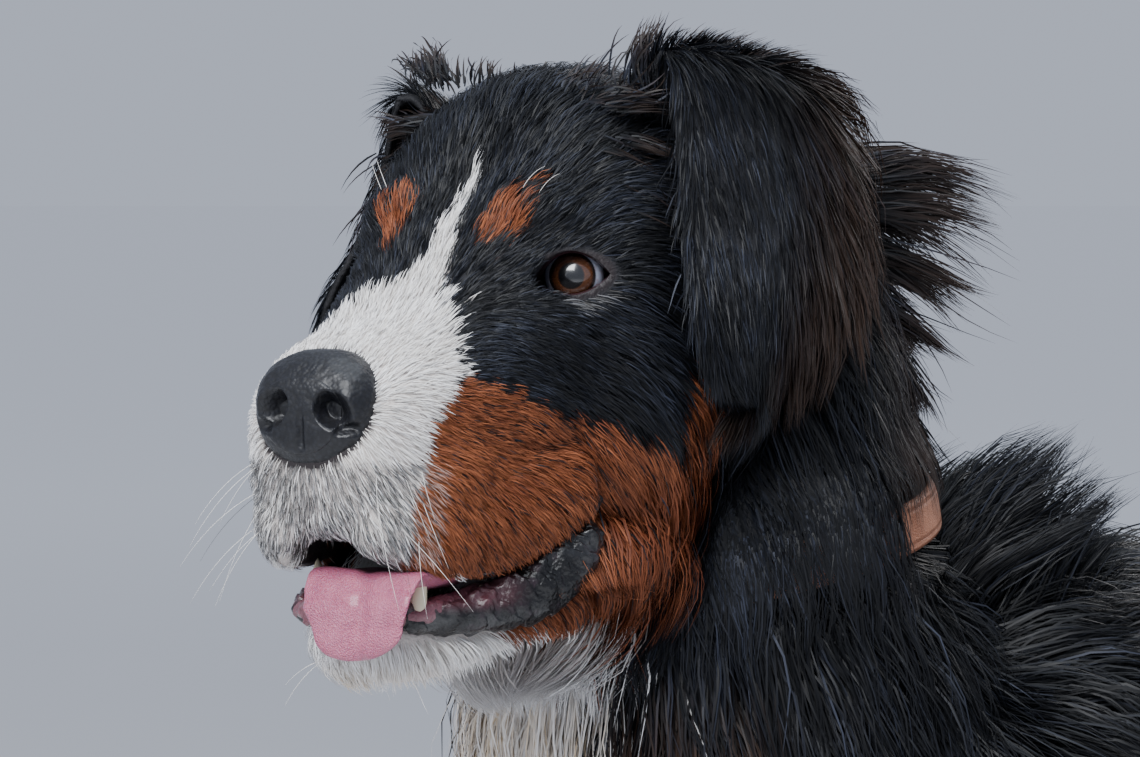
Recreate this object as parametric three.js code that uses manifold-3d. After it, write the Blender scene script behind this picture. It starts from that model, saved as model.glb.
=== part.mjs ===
// A Bernese mountain dog, life size, standing with its head turned to its left and its mouth a little open.
// Units are millimetres. +Z is up, the dog faces -Y, and its left side is +X. The body is drawn with the
// withers over y = 0 and the floor at z = 0. At the end it is moved so that the origin is on the floor
// under the middle of the dog.
import * as THREE from "three";
import { mergeVertices } from "three/addons/utils/BufferGeometryUtils.js";
import Module from "manifold-3d";

const wasm = await Module();
wasm.setup();

// Driving dimensions
const GAP = 0.3; // between neighbouring pieces
const WITHERS = 655; // height of the back over the shoulders, under the coat
const CHEST_HALF = 122; // half the chest's width
const NECK_HALF = 74; // half the neck's width
const LEG_SPREAD = 92; // from the midline to a leg
const FORE_Y = -28; // where the forepaws stand
const HIND_Y = 462; // where the hindpaws stand
const STRIDE = 14; // each paw's place ahead of or behind that
const HEAD_TURN = 31; // degrees, to the dog's left
const HEAD_TILT = 1; // degrees, nose up
const EYES_AT = [75, -300, 800]; // the point midway between the eyes
const EYE_OUT = 40; // from the head's midline to an eye's centre
const EYE_RADIUS = 12.5;
const LID_RADIUS = 15.5;
const LIDS_LONG = 29; // the opening between the lids
const LIDS_HIGH = 17;
const GAZE_OUT = 24; // degrees that each eye looks outward
const COLLAR_AT = 0.56; // up the neck, from 0 to 1
const COLLAR_WIDE = 20;
const COLLAR_THICK = 4;

// The coat: how deep it is, and how much of that the core under the locks takes up
const CORE_SHARE = 0.45;
const BACK_COAT = 32;
const SIDE_COAT = 34;
const BELLY_COAT = 44;
const RUFF_COAT = 32;
const BREAST_COAT = 50;
const TAIL_COAT = 44;
const LIMB_COAT = 20;
const LEG_COAT = 10;
const FACE_COAT = 4;

const X = new THREE.Vector3(1, 0, 0);
const UP = new THREE.Vector3(0, 0, 1);
const { lerp, degToRad } = THREE.MathUtils;

function seeded(seed) {
  return () => {
    seed = (seed * 16807) % 2147483647;
    return seed / 2147483647;
  };
}

// Geometry

// A closed body from rows of points, each row a loop, with both ends closed on a point.
function closedBody(rows, first, last) {
  const across = rows[0].length;
  const points = [first, ...rows.flat(), last];
  const faces = [];
  const at = (row, column) => 1 + row * across + (column % across);
  for (let j = 0; j < across; j++) {
    faces.push(0, at(0, j + 1), at(0, j));
    faces.push(at(rows.length - 1, j), at(rows.length - 1, j + 1), points.length - 1);
    for (let i = 0; i + 1 < rows.length; i++) {
      faces.push(at(i, j), at(i, j + 1), at(i + 1, j + 1));
      faces.push(at(i, j), at(i + 1, j + 1), at(i + 1, j));
    }
  }
  return new THREE.BufferGeometry().setFromPoints(points).setIndex(faces);
}

// Passes smoothly through a list of equal-length rows of numbers, t running from 0 to 1.
function through(rows, t) {
  const last = rows.length - 1;
  const i = Math.min(Math.floor(t * last), last - 1);
  const s = t * last - i;
  const [a, b, c, d] = [-1, 0, 1, 2].map((k) => rows[Math.min(Math.max(i + k, 0), last)]);
  return b.map((_, k) => {
    const cubic = 3 * (b[k] - c[k]) + d[k] - a[k];
    const square = 2 * a[k] - 5 * b[k] + 4 * c[k] - d[k];
    return b[k] + 0.5 * s * (c[k] - a[k] + s * (square + s * cubic));
  });
}

const bent = (value, power) => Math.sign(value) * Math.abs(value) ** power;

// A form of flesh: rounded sections carried through stations
// [x, y, z, half width, front, back, squareness].
// Front is the way from the section's centre that the path's direction crossed with +X gives: up on a body
// that runs forward, forward on a leg that runs down. point(t, angle, height) is a place over its surface,
// with angle 0 on the dog's left and 90 degrees at the front. Past either end it bends downwards. The
// sections of a straight form all face the same way.
function form(stations, { coat = () => 0, dome = 0.5, straight = false } = {}) {
  const rows = stations.map((s) => (s.length > 6 ? s : [...s, 1]));
  const within = (t) => Math.min(Math.max(t, 0), 1);
  const centre = (t) => new THREE.Vector3(...through(rows, within(t)));
  const frame = (t) => {
    const near = straight ? 1 : 0.01;
    const along = centre(within(t) + near).sub(centre(within(t) - near)).normalize();
    const left = X.clone().addScaledVector(along, -along.x).normalize();
    return { along, left, front: along.clone().cross(left) };
  };
  let length = 0;
  for (let i = 0; i < 40; i++) length += centre(i / 40).distanceTo(centre((i + 1) / 40));
  const point = (t, angle, height, scale = 1) => {
    const [x, y, z, wide, ahead, behind, square] = through(rows, within(t));
    const { along, left, front } = frame(t);
    const rise = Math.sin(angle) > 0 ? ahead : behind;
    const past = (t - within(t)) * length;
    return new THREE.Vector3(x, y, z)
      .addScaledVector(along, 0.4 * past)
      .addScaledVector(UP, -0.8 * Math.abs(past))
      .addScaledVector(left, scale * (wide + height) * bent(Math.cos(angle), square))
      .addScaledVector(front, scale * (rise + height) * bent(Math.sin(angle), square));
  };
  const body = (rings, sides, grow = 0, share = 1) => {
    const loop = (t, scale = 1) =>
      Array.from({ length: sides }, (_, j) => {
        const angle = (2 * Math.PI * j) / sides;
        return point(t, angle, grow + share * coat(t, angle), scale);
      });
    const end = (t, way) => {
      const reach = dome * through(rows, t)[3] + grow;
      const out = frame(t).along.multiplyScalar(way);
      const curved = [0.35, 0.75].map((turn) =>
        loop(t, Math.cos(turn * 1.4)).map((p) => p.addScaledVector(out, reach * Math.sin(turn * 1.4))),
      );
      return { curved, tip: centre(t).addScaledVector(out, reach) };
    };
    const start = end(0, -1);
    const finish = end(1, 1);
    const middle = Array.from({ length: rings + 1 }, (_, i) => loop(i / rings));
    return closedBody([...start.curved.reverse(), ...middle, ...finish.curved], start.tip, finish.tip);
  };
  return { point, body, frame, coat, length };
}

// A thin plate that follows place(s, t), s and t from 0 to 1, half as thick as `half` on each side. Its
// edges go `spare` further out in s and t.
function plate(place, alongS, alongT, half, spare = 0) {
  const out = (s, t) => {
    const ds = place(s + 0.01, t).sub(place(s - 0.01, t));
    const dt = place(s, t + 0.01).sub(place(s, t - 0.01));
    return dt.cross(ds).normalize();
  };
  const rows = Array.from({ length: alongS + 1 }, (_, i) => {
    const s = lerp(-spare, 1 + spare, i / alongS);
    const face = (way) =>
      Array.from({ length: alongT + 1 }, (_, j) => {
        const t = lerp(-spare, 1 + spare, j / alongT);
        return place(s, t).addScaledVector(out(s, t), way * half(s, t));
      });
    return [...face(1), ...face(-1).reverse()];
  });
  const middle = (row) =>
    row.reduce((sum, p) => sum.add(p), new THREE.Vector3()).divideScalar(row.length);
  return closedBody(rows, middle(rows[0]), middle(rows.at(-1)));
}

function ball([x, y, z], [rx, ry, rz], grow = 0, detail = 10) {
  return new THREE.SphereGeometry(1, detail, Math.round(detail * 0.7))
    .scale(rx + grow, ry + grow, rz + grow)
    .translate(x, y, z);
}

function solid(geometry, tolerance = 1e-3) {
  const bare = new THREE.BufferGeometry().setAttribute("position", geometry.getAttribute("position"));
  const merged = mergeVertices(geometry.index ? bare.setIndex(geometry.index) : bare, tolerance);
  return new wasm.Manifold(
    new wasm.Mesh({
      numProp: 3,
      vertProperties: merged.attributes.position.array,
      triVerts: new Uint32Array(merged.index.array),
    }),
  );
}

const joined = (geometries) => wasm.Manifold.union(geometries.map((geometry) => solid(geometry)));

// The largest closed surface, so that no scrap and no hollow that fusing sealed is left.
function largest(made) {
  return made.decompose().reduce((a, b) => (b.volume() > a.volume() ? b : a));
}

function geometryOf(made) {
  const { vertProperties, triVerts, numProp } = made.getMesh();
  const count = vertProperties.length / numProp;
  const points = new Float32Array(count * 3);
  for (let i = 0; i < count; i++)
    points.set(vertProperties.subarray(i * numProp, i * numProp + 3), i * 3);
  return new THREE.BufferGeometry()
    .setAttribute("position", new THREE.BufferAttribute(points, 3))
    .setIndex(new THREE.BufferAttribute(triVerts, 1));
}

// Points that all but touch are merged, which can part a scrap from the rest.
function tidied(made) {
  const merged = (rest, tolerance) => largest(solid(geometryOf(rest), tolerance));
  return [0.02, 4e-3, 1e-3].reduce(merged, largest(made));
}

// The coat's locks

// A flat lock that tapers to a point: a three-cornered section carried along the path. Growing it moves
// all its faces out by the same distance.
function lock({ path, outward, wide, thick }, grow) {
  const taper = [0.45, 1, 0.9, 0.6];
  const rows = taper.map((share, k) => {
    const along = path[k + 1].clone().sub(path[Math.max(k - 1, 0)]).normalize();
    const across = outward[k].clone().cross(along).normalize();
    const up = along.clone().cross(across);
    const half = 0.5 * wide * share;
    const high = thick * share;
    const slant = Math.hypot(half, high);
    const out = half + (grow * (slant + half)) / high;
    const at = path[k].clone().addScaledVector(along, k ? 0 : -2 * grow);
    return [
      at.clone().addScaledVector(across, out).addScaledVector(up, -grow),
      at.clone().addScaledVector(up, high + (grow * slant) / half),
      at.clone().addScaledVector(across, -out).addScaledVector(up, -grow),
    ];
  });
  const start = rows[0].reduce((sum, p) => sum.add(p), new THREE.Vector3()).divideScalar(3);
  const tip = path[4].clone().add(path[4].clone().sub(path[3]).setLength(10 * grow));
  return closedBody(rows, start, tip);
}

// Staggered rows of locks over a form. Each starts in the core, lies along the coat and ends at its full
// depth. lie is the way it lies along the form, sweep how far it turns down the sides, and hang how far its
// tip drops. Where its root would be covered by another piece, a lock is left out.
function locksOver(shape, layout) {
  const { rows, columns, from, to, low, high, long, wide } = layout;
  const { thick = 5.5, lie = -1, sweep = 0.5, hang = 0, covered = () => false } = layout;
  const { heights = [-0.25, CORE_SHARE + 0.05, 0.75, 0.9, 1] } = layout;
  const random = seeded(rows * 101 + columns * 7 + Math.round(long));
  const spare = () => random() - 0.5;
  const steps = [0, 0.3, 0.6, 0.85, 1];
  const made = [];
  for (let i = 0; i < rows; i++)
    for (let j = 0; j < columns; j++) {
      const t = lerp(from, to, (i + 0.25 * spare()) / Math.max(rows - 1, 1));
      const angle = degToRad(lerp(low, high, (j + 0.25 + 0.5 * (i % 2) + 0.15 * spare()) / columns));
      const reach = long * (1 + 0.25 * spare());
      const turn = (-sweep * Math.cos(angle) + 0.15 * spare()) * (reach / 150);
      const lift = 1 + 0.12 * spare();
      const at = (s) => [t + (lie * reach * s) / shape.length, angle + turn * s];
      const place = (s, height) => shape.point(...at(s), height * lift * shape.coat(...at(s)));
      const path = steps.map((s, k) => place(s, heights[k]).addScaledVector(UP, -hang * s * s));
      const outward = steps.map((s) => place(s, 1).sub(place(s, 0)));
      const strand = { path, outward, wide: wide * (1 + 0.2 * spare()), thick };
      if (!covered(path[0])) made.push(strand);
    }
  return made;
}

// A lock that leaves its root and hangs freely.
function freeLock(root, outward, direction, { long, wide, thick = 8, sink = 10, drop = 0.35 }) {
  const path = [0, 0.25, 0.5, 0.8, 1].map((s) =>
    new THREE.Vector3(...root)
      .addScaledVector(new THREE.Vector3(...outward).normalize(), -sink * (1 - 2 * Math.min(s, 0.5)))
      .addScaledVector(new THREE.Vector3(...direction).normalize(), long * s)
      .addScaledVector(UP, -drop * long * s * s),
  );
  return { path, outward: path.map(() => new THREE.Vector3(...outward)), wide, thick };
}

// Nodes. Each is cut back from the nodes made before it, so that they meet face to face.

const finish = {
  black_coat: [0x16161b, 0.6, 0],
  rust_coat: [0x8a3c16, 0.6, 0],
  white_coat: [0xe6e2dc, 0.6, 0],
  nose_leather: [0x1d1d22, 0.4, 0],
  eye: [0x2a1408, 0.1, 0],
  tongue: [0xc8707c, 0.35, 0],
  collar_leather: [0xb4694a, 0.6, 0],
};
const sides = { left_: 1, right_: -1 };
const dog = new THREE.Group();
const taken = [];

// pieces(grow) gives a node's geometries, grown by that much. The carved geometries are cut from it.
function node(name, slot, pieces, carved = []) {
  const cut = (made) => carved.reduce((rest, piece) => rest.subtract(solid(piece)), made);
  const whole = cut(joined(pieces(0)));
  const box = whole.boundingBox();
  const meets = (other) => {
    const near = other.boundingBox();
    return [0, 1, 2].every((k) => near.min[k] < box.max[k] && near.max[k] > box.min[k]);
  };
  const made = taken.filter(meets).reduce((rest, other) => rest.subtract(other), whole);
  taken.push(cut(joined(pieces(GAP))));
  const [color, roughness, metalness] = finish[slot];
  const material = new THREE.MeshStandardMaterial({ name: slot, color, roughness, metalness });
  const mesh = new THREE.Mesh(geometryOf(tidied(made)), material);
  mesh.name = name;
  dog.add(mesh);
}

// The head, in its own frame: x to the dog's left, -y forward, z up, from the point between the eyes

const headFrame = new THREE.Matrix4()
  .makeTranslation(...EYES_AT)
  .multiply(new THREE.Matrix4().makeRotationZ(degToRad(HEAD_TURN)))
  .multiply(new THREE.Matrix4().makeRotationX(degToRad(-HEAD_TILT)));
const onHead = (geometries) => geometries.map((g) => g.clone().applyMatrix4(headFrame));

// [ahead of the eyes, height of the section's centre, half width, rise, drop, squareness]
const ahead = ([forward, up, wide, rise, drop, square = 1]) => [0, -forward, up, wide, rise, drop, square];

const skull = form(
  [
    [-160, 10, 46, 38, 52],
    [-138, 6, 64, 56, 76],
    [-100, 4, 71, 72, 86],
    [-60, 2, 71, 74, 90],
    [-25, -12, 66, 68, 74],
    [5, -34, 56, 64, 50],
    [30, -44, 50, 46, 46, 0.9],
    [55, -54, 45, 39, 42, 0.85],
    [80, -58, 41, 35, 42, 0.85],
    [98, -64, 34, 30, 34, 0.9],
    [108, -72, 24, 18, 22],
  ].map(ahead),
  { dome: 0.2, straight: true, coat: () => FACE_COAT },
);

const noseForm = form(
  [
    [84, -48, 20, 18, 18],
    [94, -47, 24, 21, 22, 0.85],
    [106, -46, 24.5, 19, 23, 0.85],
    [114, -47, 21, 15, 20, 0.9],
    [118, -48, 14, 9, 13],
  ].map(ahead),
  { dome: 0.2, straight: true },
);

const jawForm = form(
  [
    [-60, -92, 50, 20, 28],
    [-20, -110, 48, 16, 26],
    [20, -124, 42, 10, 24],
    [52, -132, 34, 10, 22],
    [76, -133, 23, 11, 19],
    [90, -130, 13, 9, 13],
  ].map(ahead),
  { dome: 0.3, straight: true },
);

const tongueForm = form(
  [
    [2, -40, -112, 22, 3.5, 3],
    [7, -68, -111, 24, 3.5, 3],
    [12, -90, -109, 23, 3.5, 3],
    [15, -101, -117, 21, 3.5, 3],
    [17, -104, -131, 15, 3, 3],
  ],
  { dome: 0.3 },
);

// The upper lip's hanging edge on one side, from the front back to the corner of the mouth.
const lipForm = (side) =>
  form([
    [side * 17, -98, -84, 12, 17, 17],
    [side * 30, -80, -88, 13, 22, 20],
    [side * 37, -54, -88, 12, 23, 22],
    [side * 43, -28, -84, 11, 21, 20],
    [side * 48, -4, -78, 8, 16, 16],
  ]);

// The lower lip on one side, rolled out towards the corner of the mouth.
const lowerLipForm = (side) =>
  form([
    [side * 21, -80, -124, 5, 5, 5],
    [side * 34, -54, -124, 6, 6, 6],
    [side * 42, -28, -119, 7, 8, 8],
    [side * 47, -8, -108, 7, 8, 8],
    [side * 49, 2, -98, 4, 4, 4],
  ]);

function eyeball(side, grow, radius = EYE_RADIUS) {
  return ball([0, 0, 0], [radius, radius, radius], grow, 11)
    .rotateX(Math.PI / 2)
    .translate(side * EYE_OUT, 7, 0);
}

// The almond between the lids, as a prism out of the eye. Its inner corner lies lower.
function lidOpening(side) {
  const almond = new THREE.Shape();
  almond.moveTo(-LIDS_LONG / 2, -1.5);
  almond.quadraticCurveTo(0, LIDS_HIGH, LIDS_LONG / 2, 0);
  almond.quadraticCurveTo(0, -LIDS_HIGH, -LIDS_LONG / 2, -1.5);
  return new THREE.ExtrudeGeometry(almond, { depth: 30, bevelEnabled: false, curveSegments: 5 })
    .rotateZ(side * degToRad(6))
    .rotateX(Math.PI / 2)
    .rotateZ(side * degToRad(GAZE_OUT))
    .translate(side * EYE_OUT, 7, 0);
}

// A nostril: a bore into the nose, and the slit that runs from it to the side.
function nostril(side) {
  const bore = form([
    [side * 10, -124, -49, 6, 6.5, 6.5],
    [side * 12, -114, -48, 6, 6, 6],
    [side * 13, -102, -46, 4, 4, 4],
  ]);
  const slit = form([
    [side * 11, -119, -52, 3, 3, 3],
    [side * 19, -113, -55, 2.6, 3, 3],
    [side * 27, -103, -54, 2.2, 3, 3],
  ]);
  return [bore.body(2, 6), slit.body(2, 4)];
}

// Masseter and brow on one side.
const cheeks = (side, grow) => [
  ball([side * 37, 36, -38], [36, 54, 56], grow),
  ball([side * 27, 0, 20], [22, 22, 17], grow, 8),
];

// The ruff behind the cheeks, and the long hair of the nape that starts on the head.
function headLocks() {
  const ruff = [1, -1].flatMap((side) =>
    [0, 1].map((k) =>
      freeLock([side * 57, 64 + 26 * k, -64 + 40 * k], [side, 0.3, -0.3], [side * 0.35, 0.55, -0.8], {
        long: 64,
        wide: 46,
        sink: 14,
      }),
    ),
  );
  const nape = [-32, 0, 32].map((x) =>
    freeLock([x, 112, 56 - 0.35 * Math.abs(x)], [0.01 * x, 0.4, 1], [0.004 * x, 1, 0.1], {
      long: 60,
      wide: 36,
      sink: 12,
      drop: 0.6,
    }),
  );
  return [...ruff, ...nape];
}

function buildHead() {
  for (const [name, side] of Object.entries(sides))
    node(name + "eye", "eye", (grow) => onHead([eyeball(side, grow)]));
  const nostrils = onHead([...nostril(1), ...nostril(-1)]);
  node("nose", "nose_leather", (grow) => onHead([noseForm.body(4, 11, grow)]), nostrils);
  node("tongue", "tongue", (grow) => onHead([tongueForm.body(6, 10, grow)]));
  const mouth = ball([0, -58, -110], [25, 44, 24], 0, 8);
  const locks = headLocks();
  node(
    "head",
    "black_coat",
    (grow) =>
      onHead([
        skull.body(9, 13, grow),
        ...Object.values(sides).flatMap((side) => [
          ...cheeks(side, grow),
          lipForm(side).body(5, 6, grow),
          eyeball(side, grow, LID_RADIUS),
        ]),
        ...locks.map((strand) => lock(strand, grow)),
      ]),
    onHead([mouth, lidOpening(1), lidOpening(-1)]),
  );
  const canine = (side, grow) =>
    new THREE.ConeGeometry(4 + grow, 26 + grow, 5).rotateX(Math.PI / 2).translate(side * 22, -76, -113);
  node("lower_jaw", "white_coat", (grow) =>
    onHead([
      jawForm.body(7, 12, grow),
      ...Object.values(sides).flatMap((side) => [lowerLipForm(side).body(4, 5, grow), canine(side, grow)]),
    ]),
  );
  for (const [name, side] of Object.entries(sides)) buildEar(name, side);
}

// An ear: a flap that leaves the skull, bends over and hangs, cupped towards the head.
function buildEar(name, side) {
  // height, the front edge's place back and out, and the rear edge's
  const line = [
    [48, 48, 42, 122, 44],
    [76, 38, 52, 130, 56],
    [84, 33, 63, 134, 72],
    [56, 31, 68, 134, 84],
    [22, 26, 74, 124, 90],
    [-8, 18, 82, 100, 90],
    [-30, 22, 86, 76, 88],
    [-40, 38, 86, 58, 86],
  ];
  const cup = 9;
  const place = (s, t) => {
    const [up, frontBack, frontOut, rearBack, rearOut] = through(line, s);
    const middle = 1 - (2 * t - 1) ** 2;
    const out = lerp(frontOut, rearOut, t) + cup * middle;
    return new THREE.Vector3(side * out, lerp(frontBack, rearBack, t), up);
  };
  const fringe = [0.14, 0.28, 0.42, 0.56].map((s, k) =>
    freeLock(place(s, 0.82 - 0.1 * (k % 2)).toArray(), [side, 0.2, 0.5], [side * 0.15, 1, -0.1 - 0.8 * s], {
      long: 54 - 16 * s,
      wide: 34,
      thick: 6,
      sink: 1,
    }),
  );
  const tufts = [0.15, 0.6].map((t) =>
    freeLock(place(0.26, t).toArray(), [side, -0.5, 0.2], [side * 0.1, 0.3, 1], {
      long: 30,
      wide: 20,
      thick: 6,
      sink: 1,
      drop: 0.1,
    }),
  );
  node(name + "ear", "black_coat", (grow) =>
    onHead([
      plate(place, 8, 5, (s, t) => 5 + grow - 2.5 * Math.abs(2 * t - 1) ** 3, 0.05 * grow),
      ...[...fringe, ...tufts].map((strand) => lock(strand, grow)),
    ]),
  );
}

// Trunk and neck

// [y, back line, belly line, half width], the lines as shares of the height at the withers
const girth = ([y, back, belly, half, square = 0.93]) => {
  const deep = ((back - belly) / 2) * WITHERS;
  return [0, y, ((back + belly) / 2) * WITHERS, half * CHEST_HALF, deep, deep, square];
};

const trunk = form(
  [
    [488, 0.92, 0.74, 0.45],
    [450, 0.965, 0.685, 0.74],
    [385, 0.985, 0.665, 0.86],
    [300, 0.985, 0.665, 0.83],
    [200, 0.982, 0.6, 0.93],
    [100, 0.988, 0.535, 1],
    [0, 1, 0.508, 1],
    [-85, 0.992, 0.54, 0.93],
    [-145, 0.965, 0.6, 0.78],
    [-190, 0.9, 0.69, 0.5],
  ].map(girth),
  {
    coat: (t, angle) => lerp(SIDE_COAT, Math.sin(angle) > 0 ? BACK_COAT : BELLY_COAT, Math.sin(angle) ** 2),
    dome: 0.4,
    straight: true,
  },
);

const neckForm = form(
  [
    [0, -60, 500, NECK_HALF + 16, 90, 96],
    [0, -112, 570, NECK_HALF + 16, 92, 102],
    [0, -140, 635, NECK_HALF + 12, 84, 96],
    [0, -156, 700, NECK_HALF + 4, 76, 82],
    [0, -166, 775, NECK_HALF, 72, 74],
    [0, -172, 828, NECK_HALF - 8, 60, 60],
  ],
  {
    coat: (t, angle) => {
      const front = Math.max(-Math.sin(angle), 0);
      return lerp(RUFF_COAT, BREAST_COAT, front * Math.max(1 - 1.4 * t, 0));
    },
    dome: 0.35,
  },
);

function buildTrunk() {
  const underShoulder = ({ x, y, z }) => Math.abs(x) > 62 && y > -130 && y < 60 && z < 590;
  const underThigh = ({ x, y, z }) => Math.abs(x) > 52 && y > 290 && z < 590;
  const underNeck = ({ y, z }) => y < -85 && z > 500;
  const round = { columns: 5, low: 0, high: 360, long: 150, wide: 112, covered: underShoulder };
  const ruff = [
    ...locksOver(neckForm, { rows: 2, from: COLLAR_AT + 0.3, to: COLLAR_AT + 0.2, ...round }),
    ...locksOver(neckForm, { rows: 1, from: COLLAR_AT - 0.08, to: 0, ...round }),
  ];
  node("neck", "black_coat", (grow) => [
    neckForm.body(5, 11, grow, CORE_SHARE),
    ...ruff.map((strand) => lock(strand, grow)),
  ]);
  const coat = locksOver(trunk, {
    rows: 5,
    columns: 7,
    from: 0.82,
    to: 0.12,
    low: -90,
    high: 270,
    long: 170,
    wide: 104,
    hang: 12,
    covered: (root) => underShoulder(root) || underThigh(root) || underNeck(root),
  });
  const hackles = locksOver(trunk, {
    rows: 2,
    columns: 3,
    from: 0.7,
    to: 0.66,
    low: 50,
    high: 130,
    long: 75,
    wide: 60,
    heights: [-0.25, 0.9, 1.7, 2.1, 1.8],
  });
  const breast = [-145, -118, -90, -62, -35].map((angle, k) => {
    const spot = trunk.point(0.96 - 0.05 * (k % 2), degToRad(angle), 0);
    const out = trunk.point(1, degToRad(angle), 30).sub(trunk.point(1, degToRad(angle), 0));
    const size = { long: 90, wide: 50, sink: 12 };
    return freeLock(spot.toArray(), [out.x, -20, out.z], [0.2 * out.x, -14, -30], size);
  });
  node("torso", "black_coat", (grow) => [
    trunk.body(10, 12, grow, CORE_SHARE),
    ...[...coat, ...hackles, ...breast].map((strand) => lock(strand, grow)),
  ]);
}

// The collar: a round strap that rests on the core, and hangs a little at the throat.
function buildCollar() {
  const { along, left, front } = neckForm.frame(COLLAR_AT);
  const nape = neckForm.point(COLLAR_AT, Math.PI / 2, RUFF_COAT * CORE_SHARE);
  const throat = neckForm.point(COLLAR_AT, -Math.PI / 2, (RUFF_COAT + 4) * CORE_SHARE);
  const strap = (grow) => {
    const inner = nape.distanceTo(throat) / 2 + 2 * GAP - grow;
    const outer = inner + COLLAR_THICK + 2 * grow;
    const half = COLLAR_WIDE / 2 + grow;
    const section = [
      [inner, -half],
      [outer, -half],
      [outer, half],
      [inner, half],
      [inner, -half],
    ];
    return new THREE.LatheGeometry(
      section.map(([r, z]) => new THREE.Vector2(r, z)),
      22,
    )
      .applyMatrix4(new THREE.Matrix4().makeBasis(front, along, left))
      .translate(...nape.clone().lerp(throat, 0.5).toArray());
  };
  node("collar", "collar_leather", (grow) => [strap(grow)]);
}

// Legs

const mirrored = (side, stations) => stations.map(([x, ...rest]) => [side * x, ...rest]);

// A length of leg, with the long hair that grows on it.
function buildLeg(name, slot, limb, rings, locks = []) {
  node(name, slot, (grow) => [
    limb.body(rings, 9, grow, CORE_SHARE),
    ...locks.map((strand) => lock(strand, grow)),
  ]);
}

// A paw: four toes with claws round a pad, with a flat sole on the floor.
function buildPaw(name, side, y) {
  const x = side * LEG_SPREAD;
  const toes = [
    [-30, -26],
    [-11, -40],
    [11, -40],
    [30, -26],
  ];
  node(
    name,
    "white_coat",
    (grow) => [
      ball([x, y + 8, 26], [40, 44, 34], grow, 8),
      ...toes.flatMap(([out, forward]) => [
        ball([x + out, y + forward, 15], [15, 26, 19], grow, 6),
        new THREE.ConeGeometry(4 + grow, 16, 4).rotateX(2.2).translate(x + out, y + forward - 27, 7),
      ]),
    ],
    [new THREE.BoxGeometry(300, 300, 60).translate(x, y, -30)],
  );
}

// Hair that hangs from the back of a limb.
function feathers(limb, side, count, from, to, size) {
  return Array.from({ length: count }, (_, k) => {
    const t = lerp(from, to, k / (count - 1));
    const root = limb.point(t, degToRad(-90 + 18 * (k % 2 ? side : -side)), 0);
    return freeLock(root.toArray(), [0, 1, 0], [0, 0.75, -0.8], size);
  });
}

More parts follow.
